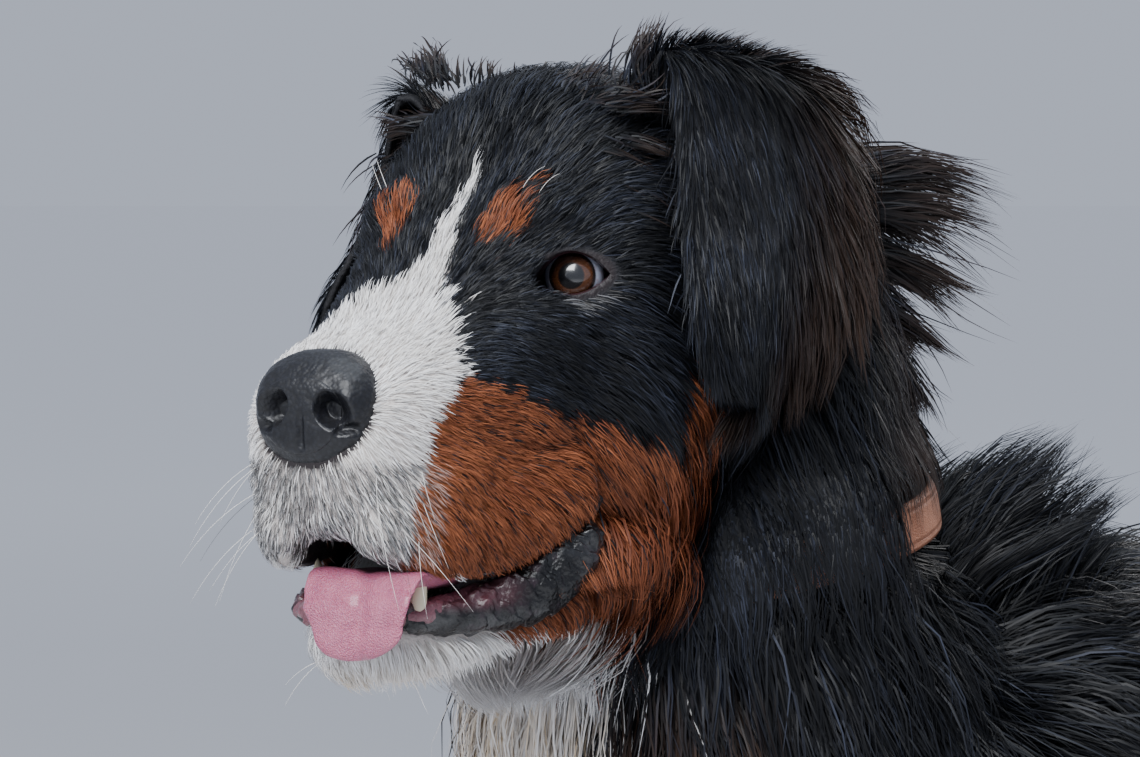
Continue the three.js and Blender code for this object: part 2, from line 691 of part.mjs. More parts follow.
function buildLegs() {
  for (const [name, side] of Object.entries(sides)) {
    const step = STRIDE * side;
    const outside = side > 0 ? 0 : 180;
    const outer = { low: outside - 80, high: outside + 80 };
    const coat = (depth) => ({ coat: () => depth, dome: 0.4 });
    buildPaw(name + "forepaw", side, FORE_Y - step);
    buildPaw(name + "hindpaw", side, HIND_Y + step);
    const forearm = form(
      mirrored(side, [
        [LEG_SPREAD + 3, 4, 330, 34, 46, 44],
        [LEG_SPREAD + 2, 0, 260, 31, 36, 38],
        [LEG_SPREAD, 22 + FORE_Y - step / 2, 190, 27, 30, 31],
        [LEG_SPREAD, 20 + FORE_Y - step, 135, 28, 30, 29],
        [LEG_SPREAD, 12 + FORE_Y - step, 85, 27, 28, 27],
        [LEG_SPREAD, 8 + FORE_Y - step, 55, 28, 30, 28],
      ]),
      coat(LEG_COAT),
    );
    const foreFeathers = feathers(forearm, side, 3, 0.15, 0.5, { long: 48, wide: 36 });
    buildLeg(name + "forearm", "rust_coat", forearm, 6, foreFeathers);
    const pastern = form(
      mirrored(side, [
        [LEG_SPREAD + 7, HIND_Y + 24 + step, 205, 24, 25, 30],
        [LEG_SPREAD + 5, HIND_Y + 24 + step, 165, 23, 24, 27],
        [LEG_SPREAD + 4, HIND_Y + 22 + step, 125, 24, 25, 27],
        [LEG_SPREAD + 1, HIND_Y + 14 + step, 80, 26, 28, 27],
        [LEG_SPREAD, HIND_Y + 6 + step, 55, 28, 32, 28],
      ]),
      coat(LEG_COAT),
    );
    buildLeg(name + "pastern", "rust_coat", pastern, 5);
    const shank = form(
      mirrored(side, [
        [LEG_SPREAD + 14, HIND_Y - 78, 345, 40, 56, 52],
        [LEG_SPREAD + 13, HIND_Y - 48, 285, 32, 38, 40],
        [LEG_SPREAD + 10, HIND_Y - 8 + step / 2, 232, 26, 28, 32],
        [LEG_SPREAD + 7, HIND_Y + 20 + step, 200, 24, 24, 28],
      ]),
      coat(LEG_COAT),
    );
    const hindFeathers = feathers(shank, side, 2, 0.15, 0.45, { long: 52, wide: 38 });
    buildLeg(name + "shank", "rust_coat", shank, 5, hindFeathers);
    const upperArm = form(
      mirrored(side, [
        [72, -10, 600, 28, 42, 42],
        [92, -40, 530, 40, 78, 66],
        [98, -40, 450, 46, 84, 72],
        [98, -12, 380, 42, 60, 58],
        [96, 2, 325, 37, 48, 48],
      ]),
      coat(LIMB_COAT),
    );
    const shoulderCoat = { rows: 3, columns: 2, from: 0.24, to: 0.66, long: 115, wide: 60 };
    buildLeg(name + "upper_arm", "black_coat", upperArm, 6, [
      ...locksOver(upperArm, { ...shoulderCoat, ...outer, lie: 1, sweep: 0 }),
      ...feathers(upperArm, side, 2, 0.62, 0.92, { long: 84, wide: 44 }),
    ]);
    const thigh = form(
      mirrored(side, [
        [66, HIND_Y - 70, 570, 40, 80, 70],
        [92, HIND_Y - 90, 500, 48, 100, 90],
        [108, HIND_Y - 112, 420, 46, 84, 82],
        [108, HIND_Y - 95, 350, 40, 58, 60],
        [106, HIND_Y - 72, 312, 36, 44, 46],
      ]),
      coat(LIMB_COAT),
    );
    const thighCoat = { rows: 3, columns: 2, from: 0.2, to: 0.7, long: 130, wide: 84 };
    buildLeg(name + "thigh", "black_coat", thigh, 6, [
      ...locksOver(thigh, { ...thighCoat, ...outer, lie: 1, sweep: 0 }),
      ...feathers(thigh, side, 3, 0.3, 0.85, { long: 96, wide: 58 }),
    ]);
  }
}

function buildTail() {
  const tail = form(
    [
      [0, 480, 600, 26, 26, 26],
      [0, 530, 570, 24, 24, 24],
      [4, 565, 500, 20, 20, 20],
      [10, 585, 420, 17, 17, 17],
      [18, 600, 340, 14, 14, 14],
      [28, 625, 265, 10, 10, 10],
      [36, 660, 215, 5, 5, 5],
    ],
    { coat: (t) => TAIL_COAT * Math.sin(Math.PI * (0.15 + 0.75 * t)), dome: 0.8 },
  );
  const plume = locksOver(tail, {
    rows: 4,
    columns: 3,
    from: 0.04,
    to: 0.8,
    low: 0,
    high: 360,
    long: 165,
    wide: 56,
    lie: 1,
    sweep: 0,
  });
  node("tail", "black_coat", (grow) => [
    tail.body(8, 7, grow, CORE_SHARE),
    ...plume.map((strand) => lock(strand, grow)),
  ]);
}

buildHead();
buildCollar();
buildLegs();
buildTail();
buildTrunk();

// The origin goes on the floor under the middle of the whole dog.
const bounds = new THREE.Box3().setFromObject(dog);
const middle = bounds.getCenter(new THREE.Vector3());
dog.position.set(-middle.x.toFixed(2), -middle.y.toFixed(2), 0);

export default dog;
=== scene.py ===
"""A mountain dog with a long three-coloured coat, life size, as a still museum model.

Places are in millimetres in the dog's own frame: the withers over y = 0, the floor at z = 0, the dog facing
-y and its left side at +x. The head has a frame of its own, from the point midway between the eyes: x to the
dog's left, -y forward and z up. Meshes are written in metres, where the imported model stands.
"""

import math

import bpy
import numpy as np
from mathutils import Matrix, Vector
from mathutils.bvhtree import BVHTree


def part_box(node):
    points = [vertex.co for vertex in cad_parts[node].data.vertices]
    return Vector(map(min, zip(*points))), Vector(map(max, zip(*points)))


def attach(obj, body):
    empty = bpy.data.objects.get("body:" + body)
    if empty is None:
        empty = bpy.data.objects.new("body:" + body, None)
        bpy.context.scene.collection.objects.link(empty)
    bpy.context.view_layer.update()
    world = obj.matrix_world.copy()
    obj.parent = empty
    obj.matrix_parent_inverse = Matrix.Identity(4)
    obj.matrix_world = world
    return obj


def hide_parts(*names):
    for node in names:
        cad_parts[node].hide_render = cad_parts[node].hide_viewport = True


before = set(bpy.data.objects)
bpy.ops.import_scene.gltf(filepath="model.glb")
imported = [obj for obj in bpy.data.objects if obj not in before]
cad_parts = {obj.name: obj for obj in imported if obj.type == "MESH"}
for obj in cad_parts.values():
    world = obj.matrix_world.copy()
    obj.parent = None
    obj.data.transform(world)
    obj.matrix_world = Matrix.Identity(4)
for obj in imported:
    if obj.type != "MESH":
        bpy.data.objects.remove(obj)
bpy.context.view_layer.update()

# Driving dimensions
WITHERS = 655
CHEST_HALF = 122
NECK_HALF = 74
LEG_SPREAD = 92
FORE_Y = -28
HIND_Y = 462
STRIDE = 14
HEAD_TURN = 31
HEAD_TILT = 1
EYES_AT = (75, -300, 800)
EYE_OUT = 40
EYE_BACK = 7
EYE_RADIUS = 12.5
LID_RADIUS = 15
LIDS_LONG = 29
LIDS_HIGH = 17
GAZE_OUT = 24
COLLAR_AT = 0.56
COLLAR_WIDE = 20
COLLAR_THICK = 4
RUFF_COAT = 32
CORE_SHARE = 0.45
PAW_REACH = 52  # from a paw's middle to its heel
SIDES = (1, -1)
SIDE_NAMES = {1: "left", -1: "right"}
SEED = 11
FLOOR_CLEAR = 0.4  # the least height of the skin's soles over the floor
MOUTH_AT = (0, -58, -110)  # the mouth's hollow, in the head's frame
MOUTH_RADII = (25, 44, 24)

paw_low, paw_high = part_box("left_forepaw")
SHIFT = np.array(
    [
        500 * (paw_low.x + paw_high.x) - LEG_SPREAD,
        1000 * paw_high.y - (FORE_Y - STRIDE + PAW_REACH),
        0,
    ]
)

# Arithmetic on points


def unit(vectors):
    """Vectors scaled to length one."""
    return vectors / np.maximum(np.linalg.norm(vectors, axis=-1, keepdims=True), 1e-9)


def dots(a, b):
    """Dot products along the last axis, kept as a last axis of one."""
    return (a * b).sum(-1, keepdims=True)


def step(values, low, high):
    """0 below low, 1 above high, and smooth between them."""
    share = np.clip((values - low) / (high - low), 0, 1)
    return share * share * (3 - 2 * share)


def through(rows, t):
    """A cubic that passes through equal rows of numbers in turn as t runs from 0 to 1."""
    last = len(rows) - 1
    at = np.clip(t, 0, 1) * last
    i = np.minimum(np.floor(at).astype(int), last - 1)
    s = (at - i)[..., None]
    a, b, c, d = (rows[np.clip(i + k, 0, last)] for k in (-1, 0, 1, 2))
    return b + 0.5 * s * (c - a + s * (2 * a - 5 * b + 4 * c - d + s * (3 * (b - c) + d - a)))


def bent(values, power):
    """A power that keeps its sign."""
    return np.sign(values) * np.abs(values) ** power


def ripple(points, size, seed=0):
    """Smooth noise of about -1 to 1: sines along nine slanted directions, at wave lengths near size."""
    random = np.random.default_rng(seed)
    total = np.zeros(points.shape[:-1])
    for _ in range(9):
        way = unit(random.normal(size=3)) * 2 * np.pi / (size * random.uniform(0.6, 1.7))
        total += np.sin(points @ way + random.uniform(0, 6.3))
    return total / 3


TURN = math.radians(HEAD_TURN)
TILT = math.radians(-HEAD_TILT)
HEAD_AXES = np.array(
    [[math.cos(TURN), -math.sin(TURN), 0], [math.sin(TURN), math.cos(TURN), 0], [0, 0, 1]]
) @ np.array([[1, 0, 0], [0, math.cos(TILT), -math.sin(TILT)], [0, math.sin(TILT), math.cos(TILT)]])


def from_head(points):
    """Points of the head's frame in the dog's."""
    return np.asarray(points, float) @ HEAD_AXES.T + np.array(EYES_AT)


def to_head(points):
    """Points of the dog's frame in the head's."""
    return (np.asarray(points, float) - np.array(EYES_AT)) @ HEAD_AXES


# Meshes


def mesh_piece(name, points, faces):
    """A smooth object from points in the dog's frame and faces of equally many corners."""
    faces = np.asarray(faces, np.int32)
    mesh = bpy.data.meshes.new(name)
    mesh.vertices.add(len(points))
    mesh.vertices.foreach_set("co", ((points + SHIFT) * 0.001).astype(np.float32).ravel())
    mesh.loops.add(faces.size)
    mesh.loops.foreach_set("vertex_index", faces.ravel())
    mesh.polygons.add(len(faces))
    mesh.polygons.foreach_set("loop_start", np.arange(0, faces.size, faces.shape[1], dtype=np.int32))
    mesh.update(calc_edges=True)
    mesh.polygons.foreach_set("use_smooth", np.ones(len(faces), bool))
    piece = bpy.data.objects.new(name, mesh)
    bpy.context.scene.collection.objects.link(piece)
    return piece


def point_values(piece, name):
    """Three numbers for each of a piece's points."""
    flat = np.empty(len(piece.data.vertices) * 3, np.float32)
    piece.data.vertices.foreach_get(name, flat)
    return flat.reshape(-1, 3).astype(float)


def points_of(piece):
    """A piece's points in the dog's frame."""
    return point_values(piece, "co") * 1000 - SHIFT


def triangles_of(piece):
    """A piece's faces as rows of three point numbers."""
    piece.data.calc_loop_triangles()
    flat = np.empty(len(piece.data.loop_triangles) * 3, np.int32)
    piece.data.loop_triangles.foreach_get("vertices", flat)
    return flat.reshape(-1, 3)


def note(piece, name, values):
    """Keeps a number for each point, for the material to read."""
    piece.data.attributes.new(name, "FLOAT", "POINT").data.foreach_set("value", values.astype(np.float32))


def modified(piece, kind, **settings):
    """The piece after one modifier."""
    modifier = piece.modifiers.new(kind, kind)
    for key, value in settings.items():
        setattr(modifier, key, value)
    evaluated = piece.evaluated_get(bpy.context.evaluated_depsgraph_get())
    mesh = bpy.data.meshes.new_from_object(evaluated)
    piece.modifiers.clear()
    piece.data = mesh
    mesh.polygons.foreach_set("use_smooth", np.ones(len(mesh.polygons), bool))
    return piece


def closed_body(rows, first, last):
    """Loops of points joined by triangles, with each end closed on a point: (points, faces)."""
    count, across = rows.shape[:2]
    at = 1 + np.arange(count * across).reshape(count, across)
    turned = np.roll(at, -1, axis=1)
    a, b, c, d = at[:-1], turned[:-1], turned[1:], at[1:]
    sides = np.stack([np.stack([a, b, c], -1), np.stack([a, c, d], -1)]).reshape(-1, 3)
    start = np.stack([np.zeros(across, int), turned[0], at[0]], -1)
    end = np.stack([at[-1], turned[-1], np.full(across, 1 + count * across)], -1)
    points = np.concatenate([[first], rows.reshape(-1, 3), [last]])
    return points, np.concatenate([start, sides, end])


def together(shells):
    """Several (points, faces) as one."""
    starts = np.cumsum([0] + [len(points) for points, _ in shells[:-1]])
    faces = np.concatenate([faces + start for (_, faces), start in zip(shells, starts)])
    return np.concatenate([points for points, _ in shells]), faces


def quads(count, across, closed=(0, 0)):
    """Faces of four corners between a grid's points. Closed is 1 for rows or columns that meet again."""
    at = np.arange(count * across).reshape(count, across)
    at = np.pad(at, [(0, extra) for extra in closed], mode="wrap")
    return np.stack([at[:-1, :-1], at[:-1, 1:], at[1:, 1:], at[1:, :-1]], -1).reshape(-1, 4)


def ball(centre, radii, rings=24, sides=32):
    """An ellipsoid: loops at equal angles between its lowest and highest points."""
    rise = np.linspace(-np.pi / 2, np.pi / 2, rings + 2)[1:-1, None]
    around = np.linspace(0, 2 * np.pi, sides, endpoint=False)[None]
    unit_rows = np.stack(
        [np.cos(rise) * np.cos(around), np.cos(rise) * np.sin(around), np.sin(rise) + 0 * around], -1
    )
    centre, radii = np.array(centre, float), np.array(radii, float)
    down = np.array([0, 0, 1]) * radii
    return closed_body(unit_rows * radii + centre, centre - down, centre + down)


def tube(path, radius, sides=8):
    """A round tube along a path, closed at both ends. The radius may change along it."""
    path = np.asarray(path, float)
    along = unit(np.gradient(path, axis=0))
    spare = np.where(np.abs(along[:, 2:]) > 0.9, [[1.0, 0, 0]], [[0, 0, 1.0]])
    across = unit(np.cross(along, spare))
    up = np.cross(across, along)
    turn = np.linspace(0, 2 * np.pi, sides, endpoint=False)[None, :, None]
    wide = np.broadcast_to(np.asarray(radius, float), len(path))[:, None, None]
    rows = path[:, None] + wide * (np.cos(turn) * across[:, None] - np.sin(turn) * up[:, None])
    return closed_body(rows, path[0], path[-1])


class Form:
    """Rounded sections along stations [x, y, z, half width, front, back, squareness].

    Front is the way from the section's centre that the path's direction crossed with +x gives. A place on
    it is given by t along the path, an angle that is 0 on the dog's left and 90 degrees at the front, and a
    height.
    """

    def __init__(self, stations, dome=0.5, straight=False):
        self.rows = np.array([[*station, 1][:7] for station in stations], float)
        self.dome = dome
        self.straight = straight

    def frame(self, t):
        near = 1 if self.straight else 0.01
        ends = [through(self.rows, np.clip(t, 0, 1) + way)[..., :3] for way in (near, -near)]
        along = unit(ends[0] - ends[1])
        left = unit(np.array([1.0, 0, 0]) - along * along[..., :1])
        return along, left, np.cross(along, left)

    def point(self, t, angle, height=0.0, scale=1.0):
        row = through(self.rows, t)
        _, left, front = self.frame(t)
        rise = np.where(np.sin(angle) > 0, row[..., 4], row[..., 5])
        side = scale * (row[..., 3] + height) * bent(np.cos(angle), row[..., 6])
        up = scale * (rise + height) * bent(np.sin(angle), row[..., 6])
        return row[..., :3] + left * side[..., None] + front * up[..., None]

    def shell(self, rings=48, sides=48, height=0.0, caps=8):
        """The closed surface: loops along the path, and at each end loops that shrink on a quarter round."""
        angle = np.linspace(0, 2 * np.pi, sides, endpoint=False)[None]
        t = np.linspace(0, 1, rings)[:, None] + 0 * angle
        rows = self.point(t, angle + 0 * t, height)
        turn = np.linspace(0, 0.5 * np.pi, caps + 1)[1:-1]
        ends = []
        for at, way in ((0.0, -1), (1.0, 1)):
            along = self.frame(np.array([at]))[0][0] * way
            reach = self.dome * through(self.rows, np.array([at]))[0, 3] + height
            scale = np.cos(turn)[:, None]
            loops = self.point(np.full_like(scale, at) + 0 * angle, angle + 0 * scale, height, scale)
            centre = through(self.rows, np.array([at]))[0, :3]
            ends.append((loops + along * (reach * np.sin(turn))[:, None, None], centre + along * reach))
        return closed_body(np.concatenate([ends[0][0][::-1], rows, ends[1][0]]), ends[0][1], ends[1][1])


def head_shell(shell):
    """A shell of the head's frame in the dog's."""
    points, faces = shell
    return from_head(points), faces


def mirrored(side, stations):
    """Stations for one side of the dog, from the left side's."""
    return [(side * x, *rest) for x, *rest in stations]


def ahead(rows):
    """Stations of the head from [ahead of the eyes, height, half width, rise, drop, squareness]."""
    return [(0, -forward, up, *rest) for forward, up, *rest in rows]


# The body's forms

skull = Form(
    ahead(
        [
            (-160, 10, 46, 38, 52),
            (-138, 6, 64, 56, 76),
            (-100, 4, 71, 72, 86),
            (-60, 2, 71, 74, 90),
            (-25, -12, 66, 68, 74),
            (5, -34, 56, 64, 50),
            (30, -44, 50, 46, 46, 0.9),
            (55, -54, 45, 39, 42, 0.85),
            (80, -58, 41, 35, 42, 0.85),
            (98, -64, 34, 30, 34, 0.9),
            (108, -72, 24, 18, 22),
        ]
    ),
    dome=0.2,
    straight=True,
)
nose_form = Form(
    ahead(
        [
            (80, -48, 20, 17, 18),
            (94, -47, 24, 20, 22, 0.88),
            (106, -46, 24.5, 19, 23, 0.88),
            (113, -47, 22, 16, 21, 0.9),
            (117, -48, 17, 12, 16, 0.95),
        ]
    ),
    dome=0.15,
    straight=True,
)
jaw = Form(
    ahead(
        [
            (-60, -92, 50, 20, 28),
            (-20, -110, 48, 16, 26),
            (20, -124, 42, 10, 24),
            (52, -132, 34, 10, 22),
            (76, -133, 23, 11, 19),
            (90, -130, 13, 9, 13),
        ]
    ),
    dome=0.3,
    straight=True,
)
tongue_form = Form(
    [
        (2, -40, -112, 22, 3.5, 3),
        (7, -68, -111, 24, 3.5, 3),
        (12, -90, -109, 23, 3.5, 3),
        (15, -101, -117, 22, 3.5, 3),
        (17, -104, -128, 18.5, 3, 3),
    ],
    dome=0.55,
)


def lip(side):
    """The upper lip's hanging edge, from the front back to the corner of the mouth."""
    return Form(
        mirrored(
            side,
            [
                (17, -98, -84, 12, 17, 17),
                (30, -80, -88, 13, 22, 20),
                (37, -54, -88, 12, 23, 22),
                (43, -28, -84, 11, 21, 20),
                (48, -4, -78, 8, 16, 16),
            ],
        )
    )


def lower_lip(side):
    """The lower lip, rolled out towards the corner of the mouth."""
    return Form(
        mirrored(
            side,
            [
                (21, -80, -124, 5, 5, 5),
                (34, -54, -123, 6, 8, 7),
                (43, -28, -117, 8, 12, 11),
                (48, -8, -107, 8, 11, 11),
                (50, 3, -97, 5, 6, 6),
            ],
        )
    )


def girth(y, back, belly, half, square=0.93):
    """A station of the trunk. Its back and belly are shares of the height at the withers."""
    deep = (back - belly) / 2 * WITHERS
    return (0, y, (back + belly) / 2 * WITHERS, half * CHEST_HALF, deep, deep, square)


trunk = Form(
    [
        girth(488, 0.92, 0.74, 0.45),
        girth(450, 0.965, 0.685, 0.74),
        girth(385, 0.985, 0.665, 0.86),
        girth(300, 0.985, 0.665, 0.83),
        girth(200, 0.982, 0.6, 0.93),
        girth(100, 0.988, 0.535, 1),
        girth(0, 1, 0.508, 1),
        girth(-85, 0.992, 0.54, 0.93),
        girth(-145, 0.965, 0.6, 0.78),
        girth(-190, 0.9, 0.69, 0.5),
    ],
    dome=0.4,
    straight=True,
)
neck = Form(
    [
        (0, -60, 500, NECK_HALF + 16, 90, 96),
        (0, -112, 570, NECK_HALF + 16, 92, 102),
        (0, -140, 635, NECK_HALF + 12, 84, 96),
        (0, -156, 700, NECK_HALF + 4, 76, 82),
        (0, -166, 775, NECK_HALF, 72, 74),
        (0, -172, 828, NECK_HALF - 8, 60, 60),
    ],
    dome=0.35,
)
tail = Form(
    [
        (0, 480, 600, 26, 26, 26),
        (0, 530, 570, 24, 24, 24),
        (4, 565, 500, 20, 20, 20),
        (10, 585, 420, 17, 17, 17),
        (18, 600, 340, 14, 14, 14),
        (28, 625, 265, 10, 10, 10),
        (36, 660, 215, 5, 5, 5),
    ],
    dome=0.8,
)


def leg_forms(side):
    """The lengths of one side's legs."""
    pace = STRIDE * side
    stations = [
        [
            (LEG_SPREAD + 3, 4, 330, 34, 46, 44),
            (LEG_SPREAD + 2, 0, 260, 31, 36, 38),
            (LEG_SPREAD, 22 + FORE_Y - pace / 2, 190, 27, 30, 31),
            (LEG_SPREAD, 20 + FORE_Y - pace, 135, 28, 30, 29),
            (LEG_SPREAD, 12 + FORE_Y - pace, 85, 27, 28, 27),
            (LEG_SPREAD, 8 + FORE_Y - pace, 50, 28, 30, 28),
        ],
        [
            (LEG_SPREAD + 7, HIND_Y + 24 + pace, 205, 24, 25, 30),
            (LEG_SPREAD + 5, HIND_Y + 24 + pace, 165, 23, 24, 27),
            (LEG_SPREAD + 4, HIND_Y + 22 + pace, 125, 24, 25, 27),
            (LEG_SPREAD + 1, HIND_Y + 14 + pace, 80, 26, 28, 27),
            (LEG_SPREAD, HIND_Y + 6 + pace, 50, 28, 32, 28),
        ],
        [
            (LEG_SPREAD + 14, HIND_Y - 78, 345, 40, 56, 52),
            (LEG_SPREAD + 13, HIND_Y - 48, 285, 32, 38, 40),
            (LEG_SPREAD + 10, HIND_Y - 8 + pace / 2, 232, 26, 28, 32),
            (LEG_SPREAD + 7, HIND_Y + 20 + pace, 190, 24, 24, 28),
        ],
        [
            (72, -10, 600, 28, 42, 42),
            (92, -40, 530, 40, 78, 66),
            (98, -40, 450, 46, 84, 72),
            (98, -12, 380, 42, 60, 58),
            (96, 2, 320, 37, 48, 48),
        ],
        [
            (66, HIND_Y - 70, 570, 40, 80, 70),
            (92, HIND_Y - 90, 500, 48, 100, 90),
            (108, HIND_Y - 112, 420, 46, 84, 82),
            (108, HIND_Y - 95, 350, 40, 58, 60),
            (106, HIND_Y - 72, 305, 36, 44, 46),
        ],
    ]
    return [Form(mirrored(side, rows), dome=0.4) for rows in stations]


PAWS = [(side, y + sign * STRIDE * side) for side in SIDES for y, sign in ((FORE_Y, -1), (HIND_Y, 1))]
TOES = ((-30, -26), (-11, -40), (11, -40), (30, -26))


def paw_shells(side, y):
    """A paw: four toes round a pad."""
    x = side * LEG_SPREAD
    toes = [ball((x + out, y + on, 14), (13, 25, 16), 14, 20) for out, on in TOES]
    return [ball((x, y + 8, 26), (36, 40, 30), 18, 24), *toes]


EAR_LINE = np.array(
    [
        (48, 48, 42, 122, 44),
        (76, 38, 52, 130, 56),
        (84, 33, 63, 134, 72),
        (56, 31, 68, 134, 84),
        (22, 26, 74, 124, 90),
        (-8, 18, 82, 100, 90),
        (-30, 22, 86, 76, 88),
        (-40, 38, 86, 58, 86),
    ],
    float,
)
FAR_EAR_LOWER = 15  # the right ear's fold lies lower and closer to the head
EAR_CUP = 9
REAR_DROOP = 16
EAR_HALF = 2.6


def ear_place(side, s, t):
    """A place on the ear's middle surface: s runs over the fold to the tip, t from front to rear edge."""
    row = through(EAR_LINE, s)
    if side < 0:
        row = row - np.array([1, 0, 0.35, 0, 0.35]) * (FAR_EAR_LOWER * (1 - step(s, 0.3, 0.9)))[..., None]
    out = row[..., 2] + (row[..., 4] - row[..., 2]) * t + EAR_CUP * (1 - (2 * t - 1) ** 2)
    back = row[..., 1] + (row[..., 3] - row[..., 1]) * t
    droop = REAR_DROOP * t**2 * (1 - step(s, 0.4, 0.8))
    return np.stack([side * out, back, row[..., 0] - droop], -1)


def ear_frame(side, s, t):
    """The ear's place with its directions along s and t and outwards."""
    along = unit(ear_place(side, s + 0.01, t) - ear_place(side, s - 0.01, t))
    across = unit(ear_place(side, s, t + 0.01) - ear_place(side, s, t - 0.01))
    return ear_place(side, s, t), along, across, unit(np.cross(along, across)) * side


def ear_shell(side):
    """The flap as a closed sheet, thickest along its middle."""
    s = np.linspace(0, 1, 60)[:, None]
    t = np.linspace(0, 1, 36)[None]
    place, _, _, out = ear_frame(side, s + 0 * t, t + 0 * s)
    half = (EAR_HALF - 1.2 * np.abs(2 * t - 1) ** 3)[..., None]
    rows = np.concatenate([place + out * half, (place - out * half)[:, ::-1]], 1)[:, :: -side]
    return closed_body(rows, rows[0].mean(0), rows[-1].mean(0))


# Eyes


def gaze(side):
    """An eye's centre in the head's frame, and its directions outwards, across and up."""
    turn = math.radians(GAZE_OUT)
    out = np.array([side * math.sin(turn), -math.cos(turn), 0])
    across = np.array([math.cos(turn), side * math.sin(turn), 0])
    roll = side * math.radians(6)
    up = np.array([0, 0, 1.0])
    return (
        np.array([side * EYE_OUT, EYE_BACK, 0.0]),
        out,
        math.cos(roll) * across + math.sin(roll) * up,
        math.cos(roll) * up - math.sin(roll) * across,
    )


def almond(share, scale=1.0):
    """The opening between the lids: two arcs that meet in the corners, as (across, up) for share 0 to 1."""
    turn = 2 * np.pi * share
    along = -np.cos(turn)
    high = np.where(np.sin(turn) > 0, 0.56, 0.44) * LIDS_HIGH
    rise = np.sign(np.sin(turn)) * high * (1 - along**2) ** 0.85
    return scale * 0.5 * LIDS_LONG * along, scale * rise - 0.7 * along**2


def on_eye(side, across, up, radius):
    """A place at that radius from the eye's centre, seen at (across, up) from ahead of it."""
    centre, out, wide, high = gaze(side)
    deep = np.sqrt(np.maximum(radius**2 - across**2 - up**2, 0.0))
    return centre + out * deep[..., None] + wide * across[..., None] + high * up[..., None]


def lid_cutter(side):
    """The almond as a prism through the lids."""
    centre, out, wide, high = gaze(side)
    across, up = almond(np.linspace(1, 0, 48, endpoint=False))
    flat = wide * across[:, None] + high * up[:, None]
    rows = np.stack([centre + flat + out * depth for depth in (0, 6, 30)])
    return closed_body(rows, centre, centre + out * 30)


# Skin


def fused(name, shells, voxel, smoothing):
    """Shells joined into one surface on a grid of that size, then smoothed."""
    piece = mesh_piece(name, *together(shells))
    modified(piece, "REMESH", mode="VOXEL", voxel_size=voxel * 0.001)
    return modified(piece, "SMOOTH", factor=0.5, iterations=smoothing)


def flattened(piece):
    """The soles: every point lower than FLOOR_CLEAR is raised to it."""
    points = np.empty(len(piece.data.vertices) * 3, np.float32)
    piece.data.vertices.foreach_get("co", points)
    points[2::3] = np.maximum(points[2::3], FLOOR_CLEAR * 0.001)
    piece.data.vertices.foreach_set("co", points)
    piece.data.update()


def combined(piece, other, operation):
    """A piece joined with or cut by another one."""
    modified(piece, "BOOLEAN", operation=operation, object=other, solver="MANIFOLD")
    bpy.data.objects.remove(other)
    return piece


def furrowed(shell):
    """The stop: the forehead sunk between the brows by a bell curve, with a narrower groove up its middle."""
    points, faces = shell
    out, ahead_of, up = points[:, 0], -points[:, 1], points[:, 2]
    stop = 8 * np.exp(-((out / 26) ** 2) - ((ahead_of - 14) / 20) ** 2)
    groove = 4 * np.exp(-((out / 9) ** 2) - ((ahead_of + 5) / 34) ** 2)
    sunk = ((stop + groove) * step(up, -25, -5))[:, None]
    return points + sunk * np.array([0, 0.75, -0.65]), faces


def build_skin():
    """One skin: the trunk and limbs, the head, its ears and its lower jaw."""
    body = [trunk.shell(), neck.shell(), tail.shell(64, 24)]
    body += [form.shell(40, 32) for side in SIDES for form in leg_forms(side)]
    body += [shell for side, y in PAWS for shell in paw_shells(side, y)]
    skin = fused("skin", body, 6, 4)
    flattened(skin)
    upper = [furrowed(skull.shell(96, 72, 0))]
    for side in SIDES:
        upper += [
            ball((side * 37, 36, -38), (33, 51, 53)),
            ball((side * 27, 0, 20), (19, 20, 14)),
            ball((side * 31, -66, -74), (15, 30, 22)),
            ball((side * EYE_OUT, EYE_BACK, 0), (LID_RADIUS, LID_RADIUS, LID_RADIUS)),
            lip(side).shell(48, 28, -1.5),
            ear_shell(side),
        ]
    head = fused("head_skin", [head_shell(shell) for shell in upper], 2.4, 6)
    for hollow in (ball(MOUTH_AT, MOUTH_RADII), ball((0, -113, -49), (19, 12, 9))):
        combined(head, mesh_piece("hollow", *head_shell(hollow)), "DIFFERENCE")
    for side in SIDES:
        combined(head, mesh_piece("lid_cutter", *head_shell(lid_cutter(side))), "DIFFERENCE")
    chin = fused("chin", [head_shell(jaw.shell(64, 48, -2))], 2.1, 6)
    combined(head, chin, "UNION")
    return combined(skin, head, "UNION")


# Markings, from the places of the head and the body


